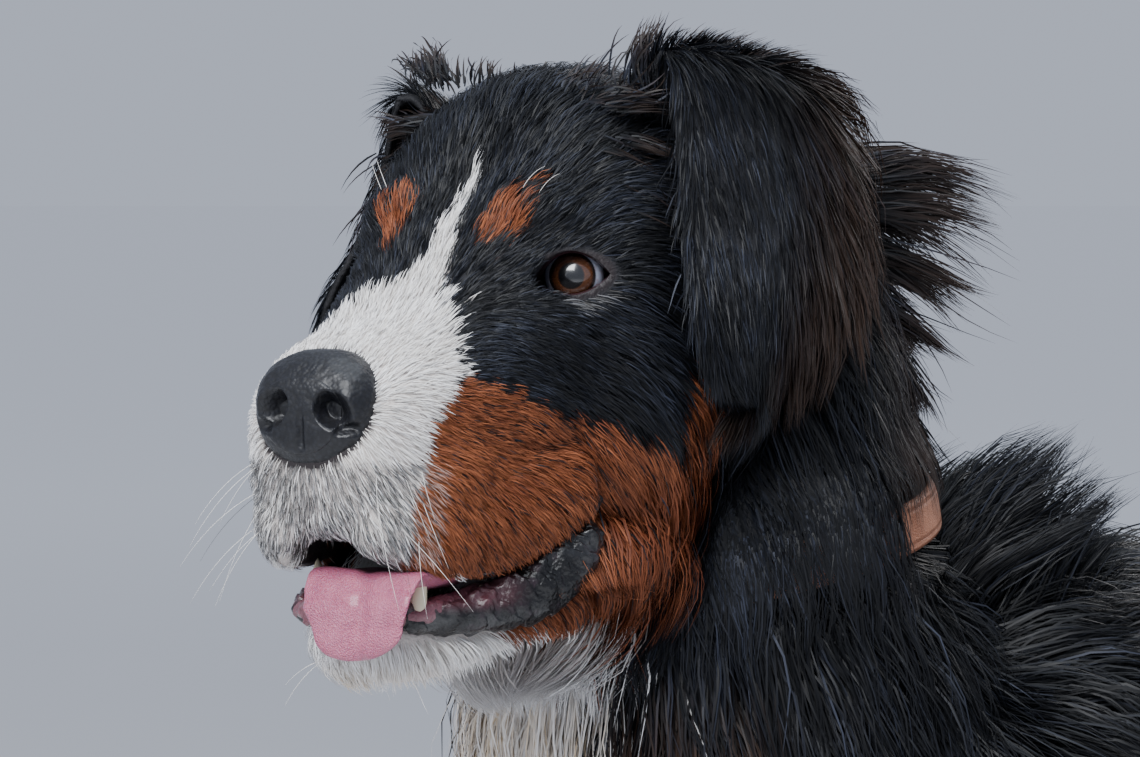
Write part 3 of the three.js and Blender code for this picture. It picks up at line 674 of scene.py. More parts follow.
def markings(points):
    """How white and how rust-brown the coat is at each point, from 0 to 1, with a ragged border."""
    q = to_head(points)
    ahead_of, out, up = -q[:, 1], np.abs(q[:, 0]), q[:, 2]
    x, y, z = np.abs(points[:, 0]), points[:, 1], points[:, 2]
    ragged = 2.2 * ripple(points, 9, 3) + 1.4 * ripple(points, 4, 5)
    on_head = step(ahead_of, -105, -85) * step(up, -165, -150)
    # the white blaze, muzzle, chin and throat
    heights = [-22, -14, -8, -4, 1, 9, 18, 28, 38, 45, 52]
    middle = np.interp(up, heights, [1, 1.5, 1.5, 3.5, 4.5, 5.5, 4.5, 1.5, 0, -1, -1])
    half = np.interp(up, heights, [25, 21, 17, 12.5, 9, 6, 4.6, 2.8, 1.6, 0.6, -4])
    blaze = np.minimum(half - np.abs(q[:, 0] - middle), (ahead_of + 14) * 0.5)
    rises = [-120, -87, -66, -55, -46, -39, -34, -23, -5]
    border = np.interp(up, rises, [92, 95, 91, 88, 82, 73, 67, 62, 47])
    border = border - 24 * step(-q[:, 0], 0, 10) * step(-up, 55, 80)
    muzzle = np.minimum(np.maximum(blaze, (ahead_of - border) * 0.8), 12)
    chin = np.minimum(np.minimum(-112 - up, ahead_of - 36), 12)
    throat = np.minimum(-134 - up - 0.25 * np.maximum(out - 25, 0), 52 - out)
    white_head = step(np.maximum(np.maximum(muzzle, chin), throat) + 0.6 * ragged, -1.5, 1.5)
    # rust on the cheeks, under the ears and over the eyes
    reaches = [-60, -38, -18, 0, 20, 38, 53, 64, 90]
    edge = np.interp(ahead_of, reaches, [-72, -70, -64, -59, -54, -46, -41, -37, -37])
    cheek = np.minimum(edge - up, ahead_of + 62)
    patch = 12 - np.hypot((ahead_of + 50) * 0.85, (up + 56) * 0.6)
    brow = 8.2 - np.hypot(out - 25.5 - 0.12 * (up - 26), (up - 25.5) * 0.8)
    brow = np.where(ahead_of > -12, brow, -30)
    rust_head = step(np.maximum(np.maximum(cheek, patch), brow) + ragged, -3.2, 3.2)
    # the body: a white breast, rust lower legs with white feet, and a white tip to the tail
    wide = np.interp(z, [380, 460, 560, 640, 700, 760], [26, 44, 54, 58, 52, 40])
    front = np.interp(z, [450, 560, 640, 720, 790, 830], [-100, -150, -185, -200, -205, -260])
    breast = np.minimum(np.minimum(wide - x, front - y), z - 385)
    feet = np.interp(y, [150, 250], [86, 74]) - z
    tip = 250 - z - 5 * np.maximum(600 - y, 0)
    white_body = step(np.maximum(np.maximum(breast, feet), tip) + 2.5 * ragged, -6, 6)
    front_leg = np.interp(x + 0.8 * (y - 5), [70, 130], [345, 270]) - z
    hind_leg = np.interp(x + 0.6 * (455 - y), [60, 150], [300, 330]) - z
    leg = np.where(y > 200, hind_leg, front_leg)
    leg = np.where(y > 552, -60, leg)
    collar_bone = 30 - np.hypot(x - 86, (z - 470) * 0.7) + np.where(y < -110, 0, -60)
    rust_body = step(np.maximum(leg, collar_bone) + 3 * ragged, -8, 8)
    white = white_head * on_head + white_body * (1 - on_head)
    rust = rust_head * on_head + rust_body * (1 - on_head)
    return white, rust * (1 - white)


# How the coat lies: guides at listed places, left side only
# Head: (ahead, out, up), (its way ahead, out and up), length, width, lift, wave

HEAD_GUIDES = [
    ((98, 6, -26), (-1, 0.1, 0.3), 5, 0.5, 0.3, 0),
    ((84, 8, -24), (-1, 0.1, 0.2), 6, 0.5, 0.3, 0),
    ((60, 10, -14), (-1, 0.15, 0.4), 8, 0.5, 0.3, 0),
    ((38, 8, -2), (-0.8, 0.15, 0.6), 9, 0.55, 0.3, 0),
    ((15, 5, 18), (-0.55, 0.05, 0.8), 12, 0.6, 0.32, 0.05),
    ((-5, 8, 42), (-0.7, 0.1, 0.7), 15, 0.65, 0.32, 0.08),
    ((-35, 10, 66), (-0.95, 0.12, 0.3), 21, 0.7, 0.42, 0.2),
    ((-80, 12, 76), (-1, 0.1, 0), 26, 0.8, 0.44, 0.25),
    ((-125, 12, 66), (-0.8, 0, -0.6), 36, 0.9, 0.4, 0.2),
    ((-155, 10, 30), (-0.5, 0, -0.9), 46, 1, 0.4, 0.2),
    ((10, 28, 32), (-0.35, 0.35, 0.85), 12, 0.6, 0.34, 0.06),
    ((-25, 35, 60), (-0.8, 0.35, 0.5), 17, 0.7, 0.34, 0.1),
    ((-70, 45, 62), (-0.85, 0.35, 0.1), 24, 0.8, 0.36, 0.16),
    ((5, 50, 16), (-0.5, 0.6, 0.5), 9, 0.55, 0.32, 0.03),
    ((-25, 62, 20), (-0.9, 0.15, -0.2), 14, 0.6, 0.32, 0.06),
    ((25, 34, 0), (-0.2, 0.5, 0.6), 6, 0.5, 0.28, 0),
    ((30, 30, -22), (-0.6, 0.3, -0.5), 7, 0.5, 0.3, 0),
    ((8, 50, -22), (-0.8, 0.3, -0.5), 9, 0.55, 0.3, 0.02),
    ((-25, 64, -20), (-0.85, 0.1, -0.5), 15, 0.65, 0.34, 0.06),
    ((-50, 68, -40), (-0.6, 0.1, -0.8), 24, 0.8, 0.36, 0.12),
    ((-20, 66, -60), (-0.75, 0.1, -0.65), 15, 0.65, 0.34, 0.06),
    ((55, 42, -48), (-0.95, 0.15, -0.15), 7, 0.5, 0.3, 0),
    ((25, 50, -55), (-0.9, 0.2, -0.4), 10, 0.55, 0.32, 0.03),
    ((80, 36, -60), (-0.8, 0.3, -0.4), 6, 0.45, 0.3, 0),
    ((70, 44, -88), (-0.6, 0.2, -0.75), 7, 0.45, 0.3, 0),
    ((40, 50, -90), (-0.75, 0.15, -0.6), 9, 0.5, 0.32, 0.03),
    ((10, 54, -84), (-0.75, 0.15, -0.6), 12, 0.6, 0.34, 0.06),
    ((100, 14, -82), (-0.3, 0.4, -0.85), 6, 0.45, 0.3, 0),
    ((84, 6, -140), (-0.3, 0.1, -0.9), 10, 0.55, 0.4, 0.1),
    ((60, 24, -146), (-0.6, 0.15, -0.75), 13, 0.6, 0.4, 0.12),
    ((30, 40, -130), (-0.75, 0.2, -0.6), 14, 0.6, 0.36, 0.1),
    ((-10, 48, -120), (-0.6, 0.2, -0.8), 20, 0.75, 0.36, 0.12),
    ((0, 10, -146), (-0.7, 0, -0.75), 26, 0.9, 0.4, 0.25),
    ((-45, 62, -90), (-0.4, 0.2, -0.9), 30, 0.9, 0.38, 0.15),
    ((-50, 10, -140), (-0.4, 0, -0.9), 40, 1, 0.4, 0.3),
]

# Body: place, way, length, width, lift, wave

BODY_GUIDES = [
    ((0, -100, 850), (0, 0.7, -0.7), 46, 1, 0.42, 0.25),
    ((0, -92, 775), (0, 0.55, -0.85), 52, 1.1, 0.42, 0.25),
    ((0, -78, 700), (0, 0.75, -0.65), 58, 1.2, 0.42, 0.25),
    ((66, -165, 840), (0.1, 0.4, -0.9), 46, 1, 0.4, 0.2),
    ((74, -166, 775), (0.1, 0.3, -0.95), 54, 1.1, 0.44, 0.5),
    ((78, -156, 700), (0.15, 0.25, -0.95), 60, 1.2, 0.44, 0.6),
    ((86, -140, 635), (0.15, 0.25, -0.95), 64, 1.3, 0.44, 0.6),
    ((90, -112, 570), (0.1, 0.45, -0.88), 66, 1.5, 0.42, 0.5),
    ((0, -240, 790), (0, 0.1, -1), 52, 1.1, 0.5, 0.8),
    ((0, -238, 715), (0, -0.1, -1), 66, 1.2, 0.5, 0.9),
    ((0, -238, 640), (0, -0.15, -1), 74, 1.3, 0.48, 0.8),
    ((50, -225, 740), (0.2, 0.05, -1), 62, 1.2, 0.45, 0.7),
    ((56, -225, 640), (0.15, 0, -1), 70, 1.3, 0.45, 0.6),
    ((0, -225, 550), (0, -0.15, -1), 78, 1.8, 0.45, 0.3),
    ((60, -200, 530), (0.1, 0.05, -1), 72, 1.8, 0.42, 0.25),
    ((0, -180, 430), (0, 0.1, -1), 82, 2, 0.45, 0.3),
    ((0, -100, 350), (0, 0.5, -0.9), 76, 2, 0.45, 0.25),
    ((0, 5, 668), (0, 1, 0.25), 66, 1.4, 0.62, 0.3),
    ((40, 0, 655), (0.25, 0.9, 0), 62, 1.4, 0.55, 0.3),
    ((0, -55, 665), (0, 0.9, 0.1), 58, 1.3, 0.5, 0.3),
    ((0, 120, 650), (0, 1, 0), 58, 1.7, 0.5, 0.35),
    ((0, 300, 645), (0, 1, 0), 54, 2, 0.4, 0.2),
    ((0, 440, 630), (0, 0.9, -0.4), 60, 2, 0.4, 0.2),
    ((60, 60, 640), (0.35, 0.85, -0.3), 60, 1.5, 0.5, 0.4),
    ((60, 300, 630), (0.3, 0.85, -0.35), 54, 2, 0.38, 0.15),
    ((112, 0, 570), (0.05, 0.7, -0.7), 58, 1.8, 0.42, 0.2),
    ((120, 60, 460), (0, 0.6, -0.8), 62, 2, 0.42, 0.2),
    ((122, 150, 560), (0.05, 0.8, -0.6), 56, 2, 0.38, 0.15),
    ((118, 180, 450), (0, 0.7, -0.75), 62, 2, 0.4, 0.2),
    ((104, 300, 560), (0.05, 0.75, -0.65), 56, 2, 0.38, 0.15),
    ((60, 100, 365), (0.1, 0.55, -0.85), 70, 2, 0.45, 0.2),
    ((0, 200, 400), (0, 0.6, -0.8), 66, 2, 0.45, 0.2),
    ((0, 330, 440), (0, 0.5, -0.85), 50, 1.8, 0.4, 0.2),
    ((70, 430, 600), (0.2, 0.55, -0.8), 58, 2, 0.4, 0.2),
    ((40, 490, 560), (0.05, 0.3, -0.95), 70, 2, 0.42, 0.2),
    ((138, -60, 500), (0, 0.35, -0.95), 44, 1.6, 0.36, 0.15),
    ((140, -30, 420), (0, 0.35, -0.95), 42, 1.5, 0.34, 0.15),
    ((96, -110, 440), (0, 0.1, -1), 40, 1.4, 0.34, 0.15),
    ((50, -30, 430), (-0.1, 0.3, -0.95), 36, 1.4, 0.32, 0.1),
    ((98, 45, 390), (0, 0.65, -0.8), 72, 1.6, 0.5, 0.2),
    ((96, 46, 320), (0, 0.65, -0.8), 60, 1.4, 0.5, 0.2),
    ((94, -34, 280), (0, 0.15, -1), 16, 0.9, 0.3, 0.05),
    ((92, -36, 180), (0, 0.15, -1), 13, 0.9, 0.3, 0.03),
    ((122, 0, 230), (0, 0.3, -1), 15, 0.9, 0.3, 0.05),
    ((64, 0, 230), (0, 0.3, -1), 15, 0.9, 0.3, 0.05),
    ((92, 36, 250), (0, 0.65, -0.8), 44, 1.2, 0.5, 0.15),
    ((92, 24, 180), (0, 0.55, -0.85), 30, 1.1, 0.45, 0.1),
    ((92, 16, 110), (0, 0.3, -0.95), 18, 1, 0.35, 0.05),
    ((92, -60, 50), (0, -0.45, -0.9), 11, 0.9, 0.3, 0.03),
    ((92, -92, 20), (0, -0.6, -0.6), 7, 0.8, 0.3, 0),
    ((120, -30, 25), (0.2, -0.3, -0.8), 9, 0.9, 0.3, 0),
    ((64, -30, 25), (-0.2, -0.3, -0.8), 9, 0.9, 0.3, 0),
    ((154, 370, 500), (0, 0.4, -0.92), 50, 1.8, 0.36, 0.15),
    ((154, 350, 420), (0, 0.4, -0.92), 48, 1.8, 0.36, 0.15),
    ((140, 370, 350), (0, 0.35, -0.95), 40, 1.6, 0.34, 0.1),
    ((100, 275, 430), (0, 0.1, -1), 42, 1.6, 0.34, 0.1),
    ((60, 370, 420), (0, 0.35, -0.95), 32, 1.4, 0.3, 0.1),
    ((100, 462, 500), (0, 0.5, -0.88), 80, 2, 0.5, 0.2),
    ((106, 440, 400), (0, 0.55, -0.85), 76, 1.8, 0.52, 0.2),
    ((106, 425, 330), (0, 0.6, -0.8), 56, 1.5, 0.5, 0.15),
    ((106, 385, 290), (0, 0.3, -0.95), 20, 1.1, 0.3, 0.05),
    ((136, 415, 290), (0, 0.4, -0.92), 22, 1.1, 0.3, 0.05),
    ((104, 478, 215), (0, 0.15, -1), 14, 0.9, 0.3, 0.03),
    ((98, 465, 140), (0, 0.05, -1), 12, 0.9, 0.3, 0.03),
    ((96, 512, 150), (0, 0.25, -0.97), 20, 1, 0.35, 0.05),
    ((92, 430, 50), (0, -0.45, -0.9), 11, 0.9, 0.3, 0.03),
    ((92, 398, 20), (0, -0.6, -0.6), 7, 0.8, 0.3, 0),
    ((120, 460, 25), (0.2, -0.3, -0.8), 9, 0.9, 0.3, 0),
    ((64, 460, 25), (-0.2, -0.3, -0.8), 9, 0.9, 0.3, 0),
    ((0, 530, 596), (0, 0.75, -0.65), 62, 1.6, 0.35, 0.2),
    ((20, 560, 520), (0.2, 0.35, -0.95), 84, 1.8, 0.42, 0.25),
    ((0, 590, 500), (0, 0.45, -0.9), 92, 1.8, 0.42, 0.25),
    ((5, 545, 480), (0, -0.15, -1), 84, 1.8, 0.42, 0.25),
    ((12, 604, 410), (0.1, 0.4, -0.92), 100, 1.8, 0.45, 0.25),
    ((12, 566, 400), (0.1, -0.1, -1), 90, 1.8, 0.42, 0.25),
    ((20, 600, 320), (0.1, 0.4, -0.92), 84, 1.7, 0.42, 0.25),
    ((32, 640, 245), (0.15, 0.5, -0.85), 44, 1.5, 0.35, 0.2),
]
HEAD_SPREAD = 17
BODY_SPREAD = 46


def guide_table():
    """All guides in the dog's frame, both sides: places, ways, (length, width, lift, wave) and spreads."""
    places, ways, sizes, spreads = [], [], [], []
    for side in SIDES:
        for (on, out, up), (way_on, way_out, way_up), *size in HEAD_GUIDES:
            places.append(from_head([side * out, -on, up]))
            ways.append(HEAD_AXES @ np.array([side * way_out, -way_on, way_up]))
            sizes.append(size)
            spreads.append(HEAD_SPREAD)
        for (x, y, z), (dx, dy, dz), *size in BODY_GUIDES:
            places.append([side * x, y, z])
            ways.append([side * dx, dy, dz])
            sizes.append(size)
            spreads.append(BODY_SPREAD)
    return np.array(places), unit(np.array(ways)), np.array(sizes, float), np.array(spreads, float)


GUIDES = guide_table()


def groomed(points):
    """The coat's way and sizes at points: the guides' mean, weighted by a bell curve of distance."""
    places, ways, sizes, spreads = GUIDES
    way = np.empty((len(points), 3))
    size = np.empty((len(points), 4))
    for start in range(0, len(points), 20000):
        rows = slice(start, start + 20000)
        apart = ((points[rows, None] - places[None]) ** 2).sum(-1) / spreads**2
        weight = np.exp(-np.minimum(apart - apart.min(1, keepdims=True), 50))
        weight /= weight.sum(1, keepdims=True)
        way[rows] = weight @ ways
        size[rows] = weight @ sizes
    return unit(way), size


# Strands


def strand_mesh(name, paths, faces_out, wide, notes):
    """Flat strands that taper to their tips: paths of k points, and the way that each strand's face looks."""
    count, rings = paths.shape[:2]
    along = unit(np.gradient(paths, axis=1))
    across = unit(np.cross(along, faces_out[:, None]))
    u = np.linspace(0, 1, rings)
    shape = (1 - u**2.2) * (0.55 + 0.45 * np.minimum(u / 0.25, 1)) * (1 - 0.18 * u) + 0.04
    half = 0.5 * wide[:, None] * shape[None]
    left = paths + across * half[..., None]
    right = paths - across * half[..., None]
    points = np.stack([left, right], 2).reshape(-1, 3)
    first = np.arange(count)[:, None] * 2 * rings + np.arange(rings - 1)[None] * 2
    faces = np.stack([first, first + 1, first + 3, first + 2], -1).reshape(-1, 4)
    piece = mesh_piece(name, points, faces)
    for key, values in notes.items():
        note(piece, key, np.repeat(values, 2 * rings))
    note(piece, "along", np.tile(np.repeat(u, 2), count))
    patches(piece, paths[:, 0], faces_out, rings)
    return piece


def patches(piece, roots, outward, rings):
    """The bake map: each strand is a small patch at its root's place, with the skin unfolded on six sides."""
    low, high = roots.min(0) - 1, roots.max(0) + 1
    share = (roots - low) / (high - low)
    axis = np.abs(outward).argmax(1)
    positive = np.take_along_axis(outward, axis[:, None], 1)[:, 0] > 0
    others = np.array([[1, 2], [0, 2], [0, 1]])[axis]
    flat = np.take_along_axis(share, others, 1)
    corner = np.stack([axis / 3, positive * 0.5], -1)
    root = corner + 0.006 + flat * (np.array([1 / 3, 1 / 2]) - 0.012)
    u = np.linspace(-0.0015, 0.0015, rings)
    across = np.array([-0.0015, 0.0015])
    spots = np.stack(np.broadcast_arrays(across[None, :], u[:, None]), -1)
    corners = root[:, None, None] + spots[None]
    order = np.array([[0, 0], [0, 1], [1, 1], [1, 0]])
    step_of = np.arange(rings - 1)
    loops = corners[:, step_of[:, None] + order[None, :, 0], order[None, :, 1]]
    layer = piece.data.uv_layers.new(name="OFBake")
    layer.data.foreach_set("uv", loops.astype(np.float32).ravel())


def scatter(points, faces, density, random):
    """Random places on a surface, so many to a square millimetre of each face: (places, faces chosen)."""
    a, b, c = (points[faces[:, k]] for k in range(3))
    area = 0.5 * np.linalg.norm(np.cross(b - a, c - a), axis=1)
    wanted = area * density
    total = int(wanted.sum())
    chosen = random.choice(len(faces), total, p=wanted / wanted.sum())
    r, s = random.random((2, total))
    flip = r + s > 1
    r[flip], s[flip] = 1 - r[flip], 1 - s[flip]
    return a[chosen] + (b - a)[chosen] * r[:, None] + (c - a)[chosen] * s[:, None], chosen


def gathered(paths, cell, strength, random):
    """Neighbouring strands lean together towards their tips: those that share a cell close on their mean."""
    roots = paths[:, 0]
    shifted = roots + cell * 0.45 * np.stack([ripple(roots, cell * 2.6, k) for k in (21, 22, 23)], -1)
    keys = np.floor(shifted / cell).astype(np.int64)
    _, group = np.unique(keys @ np.array([1, 4099, 4099 * 4099]), return_inverse=True)
    group = group.ravel()
    counts = np.bincount(group).astype(float)
    mean = np.stack(
        [np.bincount(group, paths[:, k, j]) / counts for k in range(paths.shape[1]) for j in range(3)], -1
    ).reshape(-1, paths.shape[1], 3)
    u = np.linspace(0, 1, paths.shape[1])[None, :, None]
    pull = np.asarray(strength)[:, None, None] * u**1.3
    loose = (0.75 + 0.5 * random.random(len(paths)))[:, None, None]
    return paths + (mean[group] - paths) * np.clip(pull * loose, 0, 0.95)


def laid(roots, outward, way, size, tree, random, rings, free):
    """Strands that rise from the skin, bend over and follow it: a quadratic curve from root to tip.

    The tip stands off the nearest skin by the lift. Where free is 1 it goes straight on instead and sinks.
    """
    count = len(roots)
    flat = unit(way - outward * dots(way, outward) + 0.16 * random.normal(size=(count, 3)))
    flat = unit(flat - outward * dots(flat, outward))
    length = (size[:, 0] * (0.72 + 0.5 * random.random(count)))[:, None]
    lift = (size[:, 2] * (0.35 + 0.85 * random.random(count)))[:, None]
    ahead_of = roots + flat * length * 0.92
    hugged = np.empty_like(roots)
    for i in range(count):
        place, normal, _, _ = tree.find_nearest(ahead_of[i])
        hugged[i] = np.array(place) + np.array(normal) * (lift[i, 0] * length[i, 0])
    loose = ahead_of + outward * lift * length
    loose[:, 2] -= 0.25 * length[:, 0]
    tip = hugged + (loose - hugged) * free[:, None]
    middle = roots + flat * length * 0.42 + outward * lift * length * 1.15
    u = np.linspace(0, 1, rings)[None, :, None]
    path = roots[:, None] * (1 - u) ** 2 + middle[:, None] * 2 * u * (1 - u) + tip[:, None] * u**2
    sideways = np.cross(outward, flat)
    phase = np.stack([4 * ripple(roots, 34, seed) + random.normal(0, 0.5, count) for seed in (91, 92)])
    phase = phase[..., None, None]
    turns = (0.85 + 0.2 * ripple(roots, 40, 93) + 0.15 * random.random(count))[:, None, None]
    swing = (size[:, 3] * length[:, 0] * 0.13)[:, None, None] * u
    path += sideways[:, None] * swing * np.sin(phase[0] + turns * 2 * np.pi * u)
    path += outward[:, None] * 0.5 * swing * np.sin(phase[1] + turns * 2 * np.pi * u)
    return path, flat


# Materials


class Value:
    """A number in a material. Python's operators add the nodes."""

    def __init__(self, paint, socket):
        self.paint = paint
        self.socket = socket

    def math(self, operation, *others):
        return self.paint.math(operation, self, *others)

    def __add__(self, other):
        return self.math("ADD", other)

    __radd__ = __add__

    def __mul__(self, other):
        return self.math("MULTIPLY", other)

    __rmul__ = __mul__

    def __sub__(self, other):
        return self.math("SUBTRACT", other)

    def __rsub__(self, other):
        return self.paint.math("SUBTRACT", other, self)

    def __pow__(self, other):
        return self.math("POWER", other)

    def between(self, low, high):
        """0 at low and 1 at high, smooth between them."""
        sockets = {"Value": self, "From Min": low, "From Max": high}
        return self.paint.node("ShaderNodeMapRange", {"interpolation_type": "SMOOTHSTEP"}, sockets)


class Paint:
    """A material with one principled shader."""

    def __init__(self, name, **constants):
        self.material = bpy.data.materials.new(name)
        self.material.use_nodes = True
        self.tree = self.material.node_tree
        self.shader = self.tree.nodes["Principled BSDF"]
        for key, value in constants.items():
            self.shader.inputs[key.replace("_", " ")].default_value = value

    def node(self, kind, settings, sockets, output=0):
        made = self.tree.nodes.new(kind)
        for key, value in settings.items():
            setattr(made, key, value)
        for key, value in sockets.items():
            self.feed(made.inputs[key], value)
        return Value(self, made.outputs[output])

    def feed(self, socket, value):
        if isinstance(value, Value):
            self.tree.links.new(value.socket, socket)
        elif isinstance(value, tuple) and len(value) == 3 and socket.type == "RGBA":
            socket.default_value = (*value, 1)
        else:
            socket.default_value = value

    def math(self, operation, *values):
        return self.node("ShaderNodeMath", {"operation": operation}, dict(enumerate(values)))

    def mix(self, share, a, b):
        """Colour a where share is 0 and b where it is 1."""
        return self.node("ShaderNodeMix", {"data_type": "RGBA"}, {"Factor": share, 6: a, 7: b}, 2)

    def noted(self, name):
        """A number kept on the mesh."""
        return self.node("ShaderNodeAttribute", {"attribute_name": name}, {}, "Fac")

    def place(self):
        return self.node("ShaderNodeTexCoord", {}, {}, "Object")

    def noise(self, scale, detail=3.0):
        sockets = {"Vector": self.place(), "Scale": scale, "Detail": detail, "Roughness": 0.55}
        return self.node("ShaderNodeTexNoise", {}, sockets)

    def cells(self, scale):
        sockets = {"Vector": self.place(), "Scale": scale, "Randomness": 1.0}
        return self.node("ShaderNodeTexVoronoi", {"feature": "F1"}, sockets)

    def bump(self, height, distance):
        """Raised by height times a distance in metres."""
        sockets = {"Height": height, "Distance": distance, "Strength": 1.0}
        self.feed(self.shader.inputs["Normal"], self.node("ShaderNodeBump", {}, sockets))

    def colour(self, value):
        self.feed(self.shader.inputs["Base Color"], value)

    def rough(self, value):
        self.feed(self.shader.inputs["Roughness"], value)

    def wet(self, value):
        """How much of a clear, moist layer lies on top."""
        self.feed(self.shader.inputs["Coat Weight"], value)


BLACK_HAIR = (0.003, 0.0032, 0.004)
# painted highlight: the bluish grey that the glossiest black strands are painted, in place of glints
BLACK_PAINTED_HIGHLIGHT = (0.024, 0.028, 0.042)
BROWN_TIPS = (0.05, 0.028, 0.018)
RUST_DEEP = (0.09, 0.021, 0.008)
RUST_PALE = (0.34, 0.11, 0.045)
WHITE_HAIR = (0.86, 0.86, 0.88)
WHITE_SHADE = (0.5, 0.47, 0.43)
CREAM_HAIR = (0.6, 0.48, 0.34)


def coat_paint():
    """Hair in three colours, darker at the root, each strand a little different; black strands of high shade
    are painted bluish grey as a painted highlight.
    """
    paint = Paint("coat", Specular_IOR_Level=0.2)
    shade = paint.noted("shade")
    along = paint.noted("along")
    # painted highlight: black strands of high shade are painted bluish grey
    black = paint.mix(shade**3, BLACK_HAIR, BLACK_PAINTED_HIGHLIGHT)
    black = paint.mix(paint.noted("brown") * along.between(0.1, 0.8), black, BROWN_TIPS)
    rust = paint.mix(shade * 0.8 + along * 0.2, RUST_DEEP, RUST_PALE)
    white = paint.mix(shade * 0.6 + along * 0.4, WHITE_SHADE, WHITE_HAIR)
    white = paint.mix(paint.noted("brown"), white, CREAM_HAIR)
    paint.colour(paint.mix(paint.noted("white"), paint.mix(paint.noted("rust"), black, rust), white))
    paint.rough(0.47 + paint.noted("white") * 0.2 + paint.noted("rust") * 0.1 + shade * 0.08)
    return paint.material


def skin_paint():
    """The skin under the coat, in the coat's colours, with a fine grain."""
    paint = Paint("skin", Specular_IOR_Level=0.3)
    fine = paint.noise(900.0, 4.0)
    black = paint.mix(fine, (0.006, 0.006, 0.007), (0.02, 0.02, 0.024))
    rust = paint.mix(fine, (0.09, 0.022, 0.006), (0.26, 0.08, 0.02))
    white = paint.mix(fine, (0.42, 0.36, 0.33), (0.66, 0.62, 0.59))
    body = paint.mix(paint.noted("white"), paint.mix(paint.noted("rust"), black, rust), white)
    paint.colour(paint.mix(paint.noted("bare"), body, (0.022, 0.017, 0.018)))
    paint.rough(0.75 - paint.noted("bare") * 0.35)
    paint.bump(fine, 0.0006)
    return paint.material


def wet_black_paint():
    """Lips and lid rims: black, moist and finely wrinkled, with faint violet blotches, pink where noted."""
    paint = Paint("lip_skin", Specular_IOR_Level=0.4, Coat_Roughness=0.08)
    blotch = paint.noise(160.0, 4.0)
    dark = paint.mix(blotch.between(0.55, 0.75), (0.003, 0.0028, 0.0035), (0.02, 0.011, 0.016))
    paint.colour(paint.mix(paint.noted("pink"), dark, (0.20, 0.065, 0.085)))
    paint.rough(0.22 + blotch * 0.25)
    paint.wet(paint.noise(70.0).between(0.4, 0.65) * 0.8)
    paint.bump(paint.cells(600.0) * 0.6 + paint.noise(350.0) * 1.5, 0.0006)
    return paint.material


def nose_paint():
    """Nose leather: black cobbles with moist highlights."""
    paint = Paint("nose_skin", Specular_IOR_Level=0.3, Coat_Roughness=0.25)
    cobble = paint.cells(620.0)
    paint.colour(paint.mix(cobble.between(0.2, 0.75), (0.0065, 0.007, 0.010), (0.003, 0.003, 0.0045)))
    paint.rough(0.4 + cobble * 0.2)
    paint.wet(0.1 + paint.noise(90.0) * 0.3)
    paint.bump(1 - cobble, 0.00028)
    return paint.material


def tongue_paint():
    """A moist pink tongue with fine, paler papillae."""
    soft = {"Subsurface_Weight": 0.15, "Subsurface_Scale": 0.004}
    paint = Paint("tongue_flesh", Specular_IOR_Level=0.5, Coat_Roughness=0.2, **soft)
    grain = paint.cells(1500.0)
    tone = paint.noise(110.0, 4.0)
    base = paint.mix(tone.between(0.35, 0.7), (0.29, 0.055, 0.115), (0.38, 0.095, 0.165))
    paint.colour(paint.mix(grain.between(0.1, 0.6) * 0.3, base, (0.5, 0.19, 0.26)))
    paint.rough(0.35 + tone * 0.2)
    paint.wet(0.25 + tone * 0.35)
    paint.bump(grain + tone * 0.8, 0.0005)
    return paint.material


def eye_paint():
    """An eye, by the angle from its axis: pupil, brown iris with fine flecks and painted light on its lower
    half, dark rim, and the white.
    """
    paint = Paint("eye", Specular_IOR_Level=0.7, Coat_Weight=1.0, Coat_Roughness=0.02, Roughness=0.25)
    ring = paint.noted("ring")
    flecks = paint.noise(1400.0, 2.0)
    iris = paint.mix(flecks.between(0.35, 0.7), (0.022, 0.008, 0.004), (0.06, 0.02, 0.008))
    # painted light: the iris is lighter in its lower half, its upper half left darker as the lid's shade
    iris = paint.mix(paint.noted("low") * 0.7, iris, (0.13, 0.045, 0.015))
    inner = paint.mix(ring.between(0.36, 0.42), (0.003, 0.003, 0.004), iris)
    rimmed = paint.mix(ring.between(0.66, 0.76), inner, (0.008, 0.006, 0.006))
    vein = paint.noise(500.0, 3.0)
    white = paint.mix(vein.between(0.5, 0.75), (0.36, 0.38, 0.47), (0.3, 0.22, 0.25))
    white = paint.mix(ring.between(1.0, 1.35), white, (0.05, 0.035, 0.035))
    paint.colour(paint.mix(ring.between(0.80, 0.88), rimmed, white))
    return paint.material


def ivory_paint():
    """Teeth: ivory, a little yellower in patches."""
    paint = Paint("ivory", Specular_IOR_Level=0.5, Roughness=0.25, Coat_Weight=0.4, Coat_Roughness=0.1)
    tone = paint.noise(120.0, 3.0)
    paint.colour(paint.mix(tone, (0.72, 0.62, 0.40), (0.80, 0.75, 0.60)))
    paint.bump(tone, 0.0003)
    return paint.material


def horn_paint():
    """Claws: dark horn with pale flecks."""
    paint = Paint("horn", Specular_IOR_Level=0.5)
    fleck = paint.noise(400.0)
    paint.colour(paint.mix(fleck.between(0.4, 0.7), (0.02, 0.017, 0.015), (0.13, 0.10, 0.075)))
    paint.rough(0.3 + fleck * 0.2)
    paint.bump(fleck, 0.0003)
    return paint.material


def pad_paint():
    """Foot pads: rough black skin."""
    paint = Paint("pad_skin", Specular_IOR_Level=0.3)
    grain = paint.cells(500.0)
    paint.colour(paint.mix(grain, (0.03, 0.027, 0.027), (0.012, 0.011, 0.012)))
    paint.rough(0.6 + grain * 0.2)
    paint.bump(1 - grain, 0.0009)
    return paint.material


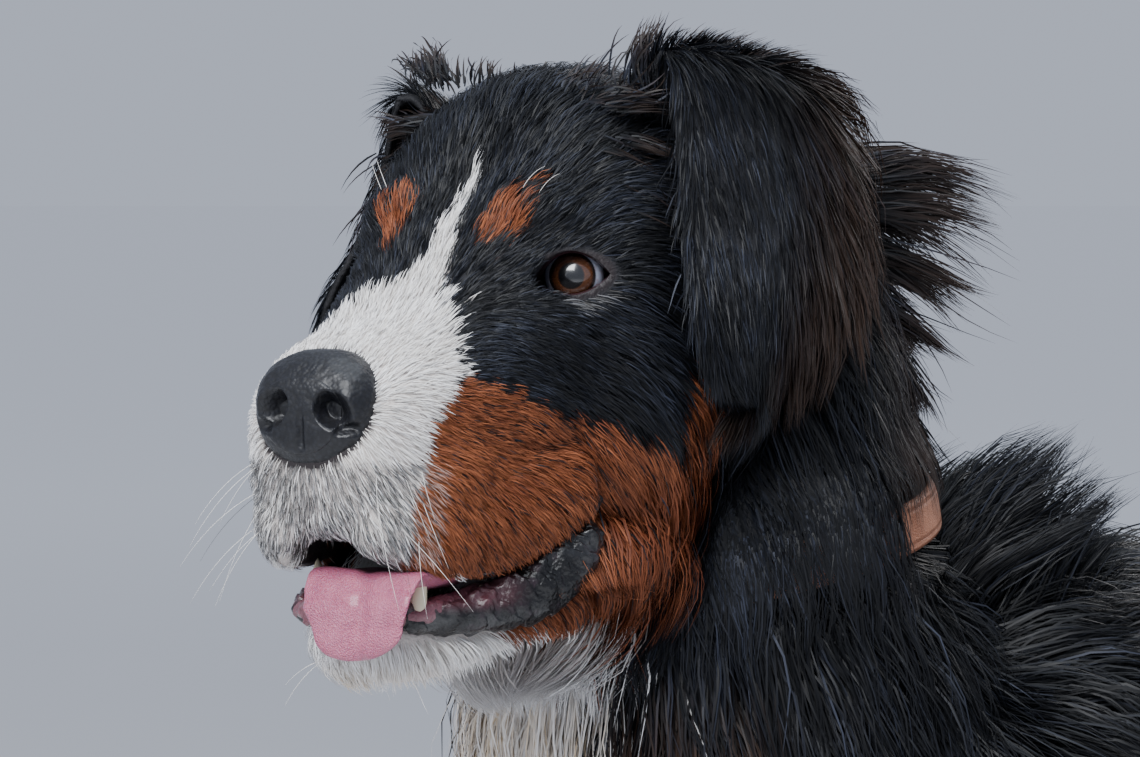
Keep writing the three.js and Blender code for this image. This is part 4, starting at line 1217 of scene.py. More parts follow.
def leather_paint():
    """Collar leather: pinkish tan with a fine grain, darker and sunk at its edges and stitches."""
    paint = Paint("collar_leather", Specular_IOR_Level=0.4)
    tone = paint.noise(60.0, 5.0)
    grain = paint.cells(1300.0)
    tan = paint.mix(tone.between(0.35, 0.7), (0.26, 0.10, 0.052), (0.38, 0.165, 0.095))
    edge = paint.noted("edge")
    paint.colour(paint.mix(edge * 0.7, tan, (0.2, 0.075, 0.04)))
    paint.rough(0.45 + tone * 0.25)
    paint.bump((1 - grain) * 0.6 + tone - edge * 1.5, 0.0006)
    return paint.material


def metal_paint():
    """Plated steel, a little uneven."""
    paint = Paint("plated_steel", Metallic=1.0)
    tone = paint.noise(800.0, 4.0)
    paint.colour(paint.mix(tone, (0.55, 0.53, 0.5), (0.7, 0.69, 0.67)))
    paint.rough(0.25 + tone * 0.2)
    paint.bump(tone, 0.0001)
    return paint.material


def whisker_paint():
    """Stiff hairs, pale, or dark where noted."""
    paint = Paint("whisker", Specular_IOR_Level=0.5, Roughness=0.35)
    paint.colour(paint.mix(paint.noted("dark"), (0.75, 0.72, 0.68), (0.02, 0.018, 0.018)))
    return paint.material


def floor_paint():
    """A plain pale floor with the faintest unevenness, whiter far out, where it meets the surround."""
    paint = Paint("floor", Specular_IOR_Level=0.0)
    cloud = paint.noise(1.5, 3.0)
    away = paint.node("ShaderNodeVectorMath", {"operation": "LENGTH"}, {0: paint.place()}, "Value")
    near_by = paint.mix(cloud, (0.66, 0.66, 0.67), (0.7, 0.7, 0.71))
    paint.colour(paint.mix(away.between(2.0, 9.0), near_by, (0.97, 0.97, 0.97)))
    paint.rough(0.7 + cloud * 0.1)
    return paint.material


def dress(piece, material, replaced=()):
    """Gives a piece its material and its place in the frame."""
    piece.data.materials.clear()
    piece.data.materials.append(material)
    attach(piece, "root")
    if replaced:
        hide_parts(*replaced)
    return piece


# The dog's pieces


def lid_distance(q):
    """How far points of the head's frame are from the eye opening, over 0 outside and seen along the gaze."""
    nearest = np.full(len(q), 1e3)
    for side in SIDES:
        centre, out, wide, high = gaze(side)
        offset = q - centre
        across, up, deep = offset @ wide, offset @ high, offset @ out
        reach = np.hypot(across / (0.5 * LIDS_LONG), up / (0.5 * LIDS_HIGH))
        gap = (reach - 1) * 0.5 * LIDS_HIGH
        nearest = np.minimum(nearest, np.where((deep > -2) & (deep < 24), gap, 1e3))
    return nearest


def mouth_reach(q, wider):
    """How far points of the head's frame are from the mouth's middle: 1 on its hollow made so much wider."""
    return np.linalg.norm((q - np.array(MOUTH_AT)) / (np.array(MOUTH_RADII) + wider), axis=1)


RIM_LINE = [(17, -99, -99), (30, -82, -106), (38, -54, -109), (45, -28, -103), (50, -4, -93), (51, 8, -84)]


def rim_path(side, count):
    """The lower edge of the upper lip, from the front to the corner of the mouth."""
    rows = np.array([(0, -104, -92), *RIM_LINE], float) * np.array([side, 1, 1])
    return through(rows, np.linspace(0.2, 1, count))


def finish_skin(skin, paint):
    """The skin's markings, and where it is bare: at the lids, the lips, the mouth and the soles."""
    points = points_of(skin)
    q = to_head(points)
    white, rust = markings(points)
    bare = 1 - step(lid_distance(q), 0.5, 2)
    beside_nose = np.hypot(q[:, 0] / 25, (q[:, 2] + 48) / 22)
    bare = np.maximum(bare, (1 - step(beside_nose, 1, 1.08)) * step(-q[:, 1], 84, 90))
    bare = np.maximum(bare, 1 - step(mouth_reach(q, 0.5), 1.0, 1.05))
    under = np.interp(-q[:, 1], [4, 28, 54, 82, 99], [50, 44, 37, 29, 15]) - np.abs(q[:, 0])
    under = np.minimum(np.minimum(under, -q[:, 1]), 99 + q[:, 1])
    bare = np.maximum(bare, step(np.minimum(under, np.minimum(-88 - q[:, 2], q[:, 2] + 118)), 0, 2.5))
    bare = np.maximum(bare, 1 - step(points[:, 2], 2, 5))
    note(skin, "white", white)
    note(skin, "rust", rust)
    note(skin, "bare", bare)
    nodes = ["head", "lower_jaw", "left_ear", "right_ear", "neck", "torso", "tail"]
    for name in SIDE_NAMES.values():
        for part in ("forepaw", "hindpaw", "forearm", "pastern", "shank", "upper_arm", "thigh"):
            nodes.append(f"{name}_{part}")
    dress(skin, paint, [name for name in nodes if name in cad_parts])


IRIS = 0.76  # the angle from the eye's axis to the edge of its cornea


def build_eye(side, paint):
    """An eyeball: loops about its axis, its radius raised by the cornea within the iris."""
    centre, out, wide, high = gaze(side)
    angle = np.linspace(0, np.pi, 74)[1:-1, None]
    around = np.linspace(0, 2 * np.pi, 72, endpoint=False)[None]
    radius = EYE_RADIUS - 0.5 + 1.5 * np.clip(1 - (angle / IRIS) ** 2, 0, 1) ** 1.2
    spread = (np.cos(around)[..., None] * wide - np.sin(around)[..., None] * high) * np.sin(angle)[..., None]
    rows = centre + (spread + out * np.cos(angle)[..., None]) * radius[..., None]
    shell = closed_body(rows, centre + out * radius[0, 0], centre - out * EYE_RADIUS)
    piece = mesh_piece(SIDE_NAMES[side] + "_eyeball", *head_shell(shell))
    ring = np.concatenate([[0], (angle + 0 * around).ravel(), [4]])
    # 1 at the eye's lower edge, where the iris gets its painted light
    low = np.concatenate([[0], (0.5 + 0.5 * np.sin(around) + 0 * angle).ravel(), [0]])
    note(piece, "ring", ring)
    note(piece, "low", low)
    return dress(piece, paint, [SIDE_NAMES[side] + "_eye"])


# The lids' section: (share of the almond's size, distance from the eye's centre)
LID_PROFILE = [(0.90, 12.9), (0.93, 14.0), (0.99, 15.2), (1.05, 15.8), (1.12, 15.7), (1.19, 14.4), (1.17, 12)]


def build_lids(side, paint):
    """The rim round the eye: a soft band from inside the opening, over its edge and down into the skin."""
    share = np.linspace(0, 1, 96, endpoint=False)[None]
    rows = through(np.array(LID_PROFILE), np.linspace(0, 1, 22))
    across, up = almond(share, rows[:, :1])
    points = on_eye(side, across, up, rows[:, 1:] + 0 * share)
    faces = quads(*across.shape, (0, 1))
    piece = mesh_piece(SIDE_NAMES[side] + "_lids", from_head(points.reshape(-1, 3)), faces)
    inner = 1 - step(rows[:, :1] + 0 * share, 0.93, 1.02)
    note(piece, "pink", (0.16 * inner).ravel())
    return dress(piece, paint)


def build_nose(paint):
    """The nose leather: the form's shell, sunk at the nostrils, the slits beside them and the cleft below."""
    points, faces = nose_form.shell(60, 150, 0, caps=60)
    side_out, back, up = np.abs(points[:, 0] - 1.5), points[:, 1], points[:, 2]
    front = step(-back, 98, 110)
    hole = np.hypot((side_out - 12.5) / 6.6, (up + 47.5 + 0.25 * (side_out - 11)) / 6.8)
    deep = 8 * (1 - step(hole, 0.5, 1.15)) * front
    slit = np.abs(up + 54.5 - 0.1 * (side_out - 15)) / 2.6
    along = step(side_out, 12, 16) * (1 - step(side_out, 18, 22.5))
    deep = np.maximum(deep, 4.2 * (1 - step(slit, 0.2, 1.2)) * along * step(-back, 92, 104))
    cleft = np.abs(side_out) / 1.6
    below = step(-up, 46, 56)
    groove = 1.5 * (1 - step(cleft, 0.2, 1.4)) * front * below * (1 - step(-up, 60, 64))
    wings = 1.6 * np.exp(-(((side_out - 17.5) / 4) ** 2) - ((up + 44) / 8) ** 2) * front
    middle = np.array([0, -96, -48])
    inward = unit(middle - points)
    inward[:, 1] = np.abs(inward[:, 1]) + 0.5
    points = points + unit(inward) * (deep + groove - wings)[:, None]
    points += 0.12 * ripple(points, 6, 9)[:, None] * unit(points - middle)
    piece = mesh_piece("nose_leather", from_head(points), faces)
    return dress(piece, paint, ["nose"])


def build_tongue(paint):
    """The tongue: the form's shell with a groove along its middle, a curled edge and small ripples."""
    points, faces = tongue_form.shell(150, 90, 0.4, caps=16)
    middle = np.interp(-points[:, 1], [40, 68, 90, 101, 106], [2, 7, 12, 15, 17])
    out = points[:, 0] - middle
    hollow = 1.6 * np.exp(-((out / 3.5) ** 2)) + 2.4 * (1 - (out / 22) ** 2)
    hanging = step(-points[:, 1], 84, 102)
    points[:, 2] -= hollow * (1 - hanging)
    points[:, 1] += hollow * hanging
    points += 0.14 * ripple(points, 9, 12)[:, None]
    return dress(mesh_piece("tongue_flesh", from_head(points), faces), paint, ["tongue"])


def build_lips(paint):
    """The black lips: a rim along the upper lip, and the lower lip's rolled, crinkled fold on each side."""
    shells, pink = [], []
    for side in SIDES:
        path = rim_path(side, 110)
        share = np.linspace(0, 1, 110)
        swell = 0.6 + 1.5 * share + 0.3 * np.sin(30 * share) * share
        shells.append(tube(path, swell, 14))
        pink.append(np.zeros(len(shells[-1][0])))
        points, faces = lower_lip(side).shell(150, 40, 0.6, caps=8)
        bumps = ripple(points, 9, 31) * 1.2 + ripple(points, 4, 32) * 0.6
        points = points + bumps[:, None] * np.array([side * 0.7, 0, 0.7])
        shells.append((points, faces))
        pink.append(0.5 * step(points[:, 2], -124, -117) * step(-points[:, 1], 34, 60))
    piece = mesh_piece("lips", *head_shell(together(shells)))
    note(piece, "pink", np.concatenate(pink))
    return dress(piece, paint)


def build_gums(paint):
    """The floor of the mouth: a moist fold of the lower lip that shows beside the tongue."""
    path = through(
        np.array([(31, -40, -117), (30, -60, -120), (25, -76, -123), (12, -88, -124), (0, -91, -124)], float),
        np.linspace(0, 1, 50),
    )
    shells = [tube(path * np.array([side, 1, 1]), 4.4, 16) for side in SIDES]
    points, faces = together(shells)
    points = points + 0.7 * ripple(points, 6, 41)[:, None]
    piece = mesh_piece("gums", *head_shell((points, faces)))
    note(piece, "pink", np.full(len(points), 0.8))
    return dress(piece, paint)


def build_teeth(paint):
    """The lower canines and the small teeth behind and between them: curved cones."""
    teeth = [(24.5, -77, -121, 3.7, 19), (10, -86, -120, 2.0, 6), (5, -88, -120, 2.0, 6)]
    teeth += [(28, -62, -119, 2.4, 6), (32, -50, -118, 2.8, 7), (35, -38, -117, 3, 7)]
    shells = []
    for side in SIDES:
        for x, y, z, wide, high in teeth:
            u = np.linspace(0, 1, 16)
            path = np.stack([side * (x + 2 * u**2) + 2.5 - 2.5 * side, y + 3 * u**2, z + high * u - 3], -1)
            shells.append(tube(path, wide * (1 - u**1.6) ** 0.75 + 0.15, 14))
    return dress(mesh_piece("teeth", *head_shell(together(shells))), paint)


def build_claws(paint):
    """Four claws to a paw: tapered hooks out of the toes."""
    shells = []
    for side, y in PAWS:
        for out, on in TOES:
            u = np.linspace(0, 1, 14)
            x = side * LEG_SPREAD + out * 1.03
            path = np.stack([x + 0 * u, y + on - 18 - 15 * u, 13 - 2 * u - 8 * u**2], -1)
            shells.append(tube(path, 3.9 * (1 - u**1.7) ** 0.7 + 0.2, 12))
    return dress(mesh_piece("claws", *together(shells)), paint)


def build_pads(paint):
    """Foot pads: one under each toe and a broad one behind, with flat undersides close over the floor."""
    shells = []
    for side, y in PAWS:
        x = side * LEG_SPREAD
        spots = [(x + out, y + on - 2, 9, 12) for out, on in TOES] + [(x, y + 10, 22, 17)]
        for px, py, wide, long in spots:
            points, faces = ball((px, py, 6.5), (wide, long, 7), 14, 24)
            points[:, 2] = np.maximum(points[:, 2], 0.2)
            shells.append((points, faces))
    return dress(mesh_piece("foot_pads", *together(shells)), paint)


def collar_ring():
    """The collar's centre, radius and directions: forward across the neck, left, and along the neck."""
    at = np.array([COLLAR_AT])
    nape = neck.point(at, np.array([0.5 * np.pi]), RUFF_COAT * CORE_SHARE)[0]
    throat = neck.point(at, np.array([-0.5 * np.pi]), (RUFF_COAT + 4) * CORE_SHARE)[0]
    along, left, front = (way[0] for way in neck.frame(at))
    return (nape + throat) / 2, 0.5 * np.linalg.norm(nape - throat) + 0.6, front, left, along


def on_collar(turn, out, up):
    """A place on the collar: the angle from the nape round to the dog's left, and the way out and up."""
    centre, radius, front, left, along = collar_ring()
    ring = np.cos(turn)[..., None] * front + np.sin(turn)[..., None] * left
    return centre + ring * (radius + out)[..., None] + up[..., None] * along


def build_collar(paint, metal):
    """A strap with rounded edges and two rows of stitches, and a plain buckle with its pin at the throat."""
    turn = np.linspace(0, 2 * np.pi, 300, endpoint=False)[:, None]
    around = np.linspace(0, 2 * np.pi, 40, endpoint=False)[None]
    half = COLLAR_WIDE / 2
    up = half * bent(np.sin(around), 0.35)
    out = COLLAR_THICK * (0.5 + 0.5 * bent(np.cos(around), 0.5))
    rows = on_collar(turn + 0 * around, out + 0 * turn, up + 0 * turn)
    strap = mesh_piece("collar_strap", rows.reshape(-1, 3), quads(*rows.shape[:2], (1, 1)))
    stitch = np.exp(-(((np.abs(up) - half + 3) / 0.6) ** 2)) * (np.sin(turn * 150) > -0.2)
    edge = np.maximum(step(np.abs(up), half - 1.4, half - 0.4) + 0 * turn, stitch)
    note(strap, "edge", edge.ravel())
    dress(strap, paint, ["collar"])
    at_throat, buckle_half = np.pi, 0.115
    corner = np.linspace(0, 2 * np.pi, 80)
    wide = buckle_half * bent(np.cos(corner), 0.4)
    tall = (half + 3) * bent(np.sin(corner), 0.4)
    frame_path = on_collar(at_throat + wide, np.full(80, COLLAR_THICK + 1.5), tall)
    u = np.linspace(0, 1, 20)
    rise = COLLAR_THICK + 1.5 + 1.5 * np.sin(np.pi * u)
    pin = on_collar(at_throat + buckle_half * (2 * u - 1), rise, 0 * u)
    shells = [tube(frame_path, 1.6, 10), tube(pin, 1.3, 10)]
    dress(mesh_piece("collar_buckle", *together(shells)), metal)


def build_whiskers(paint):
    """Whiskers on the muzzle, the chin and over the eyes: long thin cones that sag and sweep back."""
    random = np.random.default_rng(SEED + 5)
    shells, dark = [], []
    for side in SIDES:
        rows = [
            (first + on, out, up, 1)
            for up, first in ((-66, 60), (-78, 60), (-90, 60))
            for on, out in ((40, 24), (35, 30), (28, 35))
        ]
        rows += [(82, 12, -141, 0.5), (74, 20, -143, 0.5), (16, 33, 33, 0.4), (12, 38, 31, 0.4)]
        for on, out, up, scale in rows:
            long = scale * random.uniform(28, 50)
            aside, forward = side * random.uniform(0.3, 0.8), random.uniform(-1, -0.4)
            way = unit(np.array([aside, forward, random.uniform(-0.9, -0.2)]))
            if up > 0:
                way = unit(np.array([side * 0.5, 0.1, 0.9]))
            u = np.linspace(0, 1, 12)[:, None]
            root, sag = np.array([side * out * 0.93, -on, up]), np.array([0, 0.25, -0.3])
            path = root + way * long * u + sag * long * u**2
            shells.append(tube(path, 0.08 * (1 - u[:, 0]) ** 0.7 + 0.03, 5))
            dark.append(np.full(len(shells[-1][0]), float(random.random() < 0.15)))
    piece = mesh_piece("whiskers", *head_shell(together(shells)))
    note(piece, "dark", np.concatenate(dark))
    return dress(piece, paint)


# The coat


# Strands to a square millimetre: on the flanks, what the neck and the legs have more, and on the face
FLANK_HAIR = 0.032
NECK_HAIR = 0.165
LEG_HAIR = 0.045
FACE_HAIR = 1.0


def hair_density(points):
    """Strands to a square millimetre, most on the face and fewest on the flanks, and where they are fine."""
    q = to_head(points)
    ahead_of = -q[:, 1]
    on_face = step(ahead_of, -110, -60) * step(q[:, 2], -170, -150) * step(points[:, 2], 600, 640)
    near_neck = step(points[:, 2], 560, 620) * step(-points[:, 1], -90, -40)
    legs = step(-points[:, 2], -340, -300)
    density = FLANK_HAIR + NECK_HAIR * near_neck + LEG_HAIR * legs
    density = density + (FACE_HAIR - density) * on_face
    far = 1 - 0.5 * step(-points[:, 0], 10, 60)
    fine = np.maximum(on_face, near_neck)
    return density * far, fine


def keep_roots(roots):
    """True for roots clear of the eye openings, the nose, the mouth, the lips, the soles and the collar."""
    q = to_head(roots)
    out, ahead_of, up = np.abs(q[:, 0]), -q[:, 1], q[:, 2]
    keep = lid_distance(q) > 1.3
    row = np.hypot(q[:, 0] / 23, (q[:, 2] + 48) / 20)
    keep &= ~((ahead_of > 90) & (row < 1))
    keep &= mouth_reach(q, (1.5, 2, 1.5)) > 1
    inside = (up < -98) & (up > -128) & (out < 34) & (ahead_of > 10) & (ahead_of < 84)
    keep &= ~inside
    for side in SIDES:
        path = rim_path(side, 40)
        keep &= near(q, path) > 2.6
        line = through(lower_lip(side).rows, np.linspace(0, 1, 30))[:, :3]
        keep &= near(q, line) > 9
    keep &= roots[:, 2] > 6
    centre, _, _, _, along = collar_ring()
    keep &= np.abs((roots - centre) @ along) > COLLAR_WIDE / 2 + 1
    return keep


def near(points, line):
    """Distance from each point to the nearest of a line's points."""
    best = np.full(len(points), 1e9)
    for place in line:
        best = np.minimum(best, ((points - place) ** 2).sum(-1))
    return np.sqrt(best)


def ear_distance(q):
    """How far points of the head's frame are from the ears' middle surface."""
    s, t = (a.ravel() for a in np.meshgrid(np.linspace(0, 1, 22), np.linspace(0, 1, 14)))
    return np.minimum(near(q, ear_place(1, s, t)), near(q, ear_place(-1, s, t)))


def coat_notes(roots, random, brown=0.0):
    """Each strand's colours: its markings, a random shade that also holds painted shade and sets the painted
    highlight, and how brown its tip is.
    """
    white, rust = markings(roots)
    count = len(roots)
    mark = (white > random.uniform(0.25, 0.75, count)).astype(float)
    red = (rust > random.uniform(0.25, 0.75, count)).astype(float) * (1 - mark)
    fleck = random.random(count)
    q = to_head(roots)
    streak = 0.08 + 0.22 * step(ripple(q * np.array([1, 0.4, 1]), 5, 77), 0.3, 1.1)
    red = np.where((red > 0) & (fleck < streak), 0, red)
    # under the nose: partly the coat's real grey speckles, partly painted shade over the muzzle's lower front
    speckles_and_painted_shade = (-q[:, 1] > 84) & (q[:, 2] < -68) & (q[:, 2] > -106)
    mark = np.where(speckles_and_painted_shade & (fleck < 0.68), 0.04 + 0.45 * fleck, mark)
    beside_lids = (1 - step(lid_distance(q), 4, 9)) * step(-q[:, 1] * 0.4 - q[:, 2], -3, 5)
    grey = random.random(count) < 0.6 * beside_lids
    mark = np.where(grey & (red == 0), 0.14, mark)
    shade = 0.42 + 0.15 * ripple(roots, 30, 51) + random.normal(0, 0.28, count)
    # painted shade: rust strands low on the cheek, behind the mouth's corner, are darkened
    shade -= 0.3 * step(q[:, 1], -12, 20) * step(-q[:, 2], 70, 95) * (red > 0)
    # lower shade behind the head: less painted highlight on the black strands there, and deeper rust
    shade -= 0.16 * step(q[:, 1], 60, 130) * (mark < 0.5)
    return {"white": mark, "rust": red, "shade": np.clip(shade, 0, 1), "brown": brown + np.zeros(count)}


EAR_BARE = 8  # the skin is left without strands within so much of an ear's middle surface
SHORT_HAIR = 17.5  # strands shorter than this are the face's, and below LONG_HAIR the crown's
LONG_HAIR = 40
LEGS_BELOW = 330
# Each region's points along a strand, the cells that its strands gather in, and how strongly they do
REGIONS = {
    "face": (4, (3,), 0.42),
    "crown": (5, (3.5, 8), 0.45),
    "long": (6, (6, 17), 0.6),
    "legs": (4, (5,), 0.4),
}


def coat_on_skin(skin, paint):
    """Strands all over the skin but its ears, in pieces by region, longer ones leaning together in locks."""
    random = np.random.default_rng(SEED)
    points, faces = points_of(skin), triangles_of(skin)
    normals = point_values(skin, "normal")
    middles = points[faces].mean(1)
    on_ear = ear_distance(to_head(middles)) < EAR_BARE
    tree = BVHTree.FromPolygons(points.tolist(), faces[~on_ear].tolist())
    density, _ = hair_density(middles)
    density[on_ear] = 0
    roots, chosen = scatter(points, faces, density, random)
    outward = unit(normals[faces[chosen]].mean(1))
    keep = keep_roots(roots)
    roots, outward = roots[keep], outward[keep]
    way, size = groomed(roots)
    _, fine = hair_density(roots)
    size[:, 1] *= (1.45 - 0.68 * fine) * (1 + 0.5 * step(-roots[:, 0], 10, 60))
    nape_cut = collar_gap(roots)
    size[:, 0] *= 1 - 0.72 * nape_cut
    size[:, 1] *= 1 - 0.5 * nape_cut
    size[:, 2] *= 1 - 0.5 * nape_cut
    short, long = size[:, 0] < SHORT_HAIR, size[:, 0] >= LONG_HAIR
    legs = (roots[:, 2] < LEGS_BELOW) & ~long
    masks = {"face": short & ~legs, "crown": ~short & ~long & ~legs, "long": long, "legs": legs}
    for key, (rings, cells, pull) in REGIONS.items():
        mask = masks[key]
        p, n, w, s = roots[mask], outward[mask], way[mask], size[mask]
        free = np.clip(0.25 + 1.6 * (s[:, 2] - 0.4), 0, 1)
        paths, flat = laid(p, n, w, s, tree, random, rings, free)
        for cell in cells:
            paths = gathered(paths, cell, np.full(len(p), pull), random)
        paths = over_collar(paths, nape_cut[mask])
        paths[..., 2] = np.maximum(paths[..., 2], 1.5)
        roll = (0.4 * ripple(p, 2 * cells[-1], 35) + random.normal(0, 0.2, len(p)))[:, None]
        face_out = unit(n * np.cos(roll) + np.cross(flat, n) * np.sin(roll))
        wide = s[:, 1] * (0.75 + 0.5 * random.random(len(p)))
        notes = coat_notes(paths[:, 2], random, nape_brown(p))
        write_strands("coat_" + key, paths, face_out, wide, notes, paint)


def collar_gap(roots):
    """1 where the coat parts over the collar, on the nape's left."""
    centre, _, front, left, along = collar_ring()
    offset = roots - centre
    turn = np.degrees(np.arctan2(offset @ left, offset @ front))
    up = offset @ along
    return step(turn, -8, 2) * (1 - step(turn, 56, 68)) * step(up, -16, -9) * (1 - step(up, 34, 50))


def over_collar(paths, parted):
    """Strands that cross the collar are pushed out over it, but not where the coat parts."""
    centre, radius, _, _, along = collar_ring()
    offset = paths - centre
    up = offset @ along
    flat = offset - up[..., None] * along
    out = np.linalg.norm(flat, axis=-1)
    wanted = radius + COLLAR_THICK + 3 - (np.maximum(np.abs(up) - 9, 0) / 9) ** 2
    push = np.where(out > 30, np.maximum(wanted - out, 0), 0) * (1 - parted[:, None])
    push[:, 0] = 0
    return paths + flat / np.maximum(out, 1)[..., None] * push[..., None]


def nape_brown(roots):
    """How brown the tips are, behind the ears and down the nape, and how cream the throat's white hair is."""
    back = step(roots[:, 1], -150, -100) * step(roots[:, 2], 690, 740)
    q = to_head(roots)
    throat = step(-q[:, 2], 134, 150) * step(-roots[:, 1], 170, 200) * (0.6 + 0.4 * ripple(roots, 12, 36))
    return np.clip(0.5 * back + throat, 0, 1)


MOST_TRIANGLES = 190000


def write_strands(name, paths, face_out, wide, notes, paint):
    """Writes strands as one or more pieces, each under MOST_TRIANGLES triangles, split front to back."""
    rings = paths.shape[1]
    total = len(paths) * 2 * (rings - 1)
    parts = int(np.ceil(total / MOST_TRIANGLES))
    order = np.argsort(paths[:, 0, 1] + 0.3 * paths[:, 0, 2], kind="stable")
    for k, rows in enumerate(np.array_split(order, parts)):
        label = name if parts == 1 else f"{name}_{k + 1}"
        kept = {key: values[rows] for key, values in notes.items()}
        piece = strand_mesh(label, paths[rows], face_out[rows], wide[rows], kept)
        dress(piece, paint)


EAR_STRANDS = {1: 14000, -1: 8000}
EAR_INSIDE = {1: 0.2, -1: 0.35}  # the share of an ear's strands that is on its inner face


def coat_on_ear(side, paint):
    """The ear's hair: short and smooth in front, long, wavy and browner towards base and rear edge."""
    random = np.random.default_rng(SEED + 2 + side)
    count = EAR_STRANDS[side]
    inner = int(EAR_INSIDE[side] * count)
    s, t = random.random((2, count))
    face = np.where(np.arange(count) < inner, -1.0, 1.0)
    place, along, across, out = ear_frame(side, s, t)
    rear = step(t, 0.45, 0.95) * (1 - 0.6 * step(s, 0.6, 1))
    top = 1 - step(s, 0.1, 0.4)
    long = 13 + 26 * rear + 10 * top + 6 * step(s, 0.8, 1)
    long = np.where(face > 0, long * (0.5 + 0.5 * step(s, 0.1, 0.3)), 13) * (0.7 + 0.6 * random.random(count))
    sweep = (0.15 + 1.1 * rear * (0.4 + 0.8 * top) - 0.5 * (1 - step(t, 0, 0.14)))[:, None]
    flow = unit(along + across * sweep + 0.13 * random.normal(size=(count, 3)))
    normal = out * face[:, None]
    flow = unit(flow - normal * dots(flow, normal))
    u = np.linspace(0, 1, 5)[None, :, None]
    lift = (0.12 + 0.1 * rear + 0.12 * random.random(count))[:, None, None]
    root = place + normal * (EAR_HALF * 0.6)
    reach = long[:, None, None]
    path = root[:, None] + flow[:, None] * reach * u + normal[:, None] * reach * lift * (2 * u - u**2) * 0.9
    path[..., 2] -= (reach * (0.08 + 0.3 * rear[:, None, None]) * u**2)[..., 0]
    wave = (0.02 + 0.09 * rear)[:, None, None] * reach
    phase = ripple(root, 26, 61)[:, None, None] * 3 + random.normal(0, 0.4, (count, 1, 1))
    sideways = np.cross(normal, flow)[:, None]
    path += sideways * wave * np.sin(phase + 6.5 * u) * u
    path += normal[:, None] * wave * 0.6 * np.cos(phase + 7 * u) * u
    path = gathered(path, 6, 0.35 + 0.4 * rear, random)
    world = from_head(path)
    normal, flow = normal @ HEAD_AXES.T, flow @ HEAD_AXES.T
    roll = random.normal(0, 0.45, count)[:, None]
    face_out = unit(normal * np.cos(roll) + np.cross(flow, normal) * np.sin(roll))
    wide = (0.6 + 0.45 * rear) * (0.75 + 0.5 * random.random(count))
    notes = coat_notes(world[:, 0], random, 0.75 * rear)
    notes["white"][:] = 0
    notes["rust"][:] = 0
    write_strands(f"coat_{SIDE_NAMES[side]}_ear", world, face_out, wide, notes, paint)


def coat_tufts(paint):
    """Tufts that stand up round the ears' roots, on the crown and at the nape."""
    random = np.random.default_rng(SEED + 9)
    # place and way, each as (ahead, left, up), then length and number of strands
    tufts = [
        ((-34, 42, 66), (-0.2, 0.8, 0.35), 18, 130),
        ((-30, 47, 50), (-0.3, 0.8, -0.1), 16, 130),
        ((-28, 53, 32), (-0.5, 0.6, -0.4), 15, 100),
        ((-42, 50, 74), (0.1, 0.1, 1), 32, 110),
        ((-52, 56, 76), (-0.3, 0.25, 1), 26, 90),
        ((-64, 64, 76), (-0.5, 0.3, 0.9), 30, 110),
        ((-78, 66, 76), (-0.8, 0.25, 0.7), 28, 90),
        ((-92, 66, 76), (-0.8, 0.3, 0.5), 30, 110),
        ((-30, 30, 72), (-0.5, 0.1, 0.9), 16, 50),
        ((-38, -20, 74), (0.3, 0, 0.9), 17, 30),
        ((-46, -48, 76), (-0.3, -0.5, 0.9), 20, 90),
        ((-60, -60, 80), (-0.2, -0.8, 0.6), 24, 90),
        ((-34, -43, 58), (0.3, -0.7, 0.1), 24, 160),
        ((-32, -48, 44), (0.3, -0.7, -0.3), 24, 160),
        ((-30, -52, 28), (0.2, -0.6, -0.7), 26, 160),
        ((-142, 44, 72), (-0.85, 0.4, 0.14), 38, 180),
        ((-144, 26, 74), (-0.9, 0.2, 0.16), 38, 180),
        ((-147, 48, 56), (-0.8, 0.45, -0.1), 37, 180),
        ((-148, 28, 56), (-0.9, 0.2, -0.1), 37, 180),
        ((-150, 48, 38), (-0.8, 0.45, -0.5), 32, 150),
        ((-151, 28, 38), (-0.85, 0.2, -0.5), 32, 150),
    ]
    roots, ways, longs = [], [], []
    for (on, out, up), (way_on, way_out, way_up), long, count in tufts:
        centre = np.array([out, -on, up], float)
        roots.append(centre + random.normal(0, 1, (count, 3)) * np.array([5, 5, 2.5]))
        way = unit(np.array([way_out, -way_on, way_up], float) + random.normal(0, 0.16, (count, 3)))
        ways.append(way)
        longs.append(long * random.uniform(0.55, 1.1, count))
    roots, ways, longs = np.concatenate(roots), np.concatenate(ways), np.concatenate(longs)
    u = np.linspace(0, 1, 6)[None, :, None]
    path = roots[:, None] + ways[:, None] * longs[:, None, None] * u
    path += np.array([0, 0.35, -0.25]) * longs[:, None, None] * u**2
    bend = np.stack([ripple(roots, 14, k) for k in (71, 72, 73)], -1)[:, None]
    path += 0.18 * longs[:, None, None] * u * bend
    path = gathered(path, 9, np.full(len(roots), 0.55), random)
    world = np.concatenate([from_head(path), mane(random)])
    face_out = unit(random.normal(size=(len(world), 3)) + np.array([1.5, -1, 0.5]))
    notes = coat_notes(world[:, 0], random, 0.35 * step(world[:, 0, 2], 740, 780))
    notes["white"][:] = 0
    notes["rust"][:] = 0
    write_strands("coat_tufts", world, face_out, np.full(len(world), 0.9), notes, paint)


# Rows of locks: (y, length) along the withers, and (y, z, length) up the nape
WITHERS_ROWS = ((-72, 66), (-58, 96), (-42, 112), (-26, 102), (-10, 74), (12, 46))
NAPE_ROWS = (
    (-88, 742, 30), (-92, 764, 31), (-97, 786, 36), (-100, 806, 44), (-104, 824, 54), (-106, 838, 60)
)
MANE_STRANDS = 115


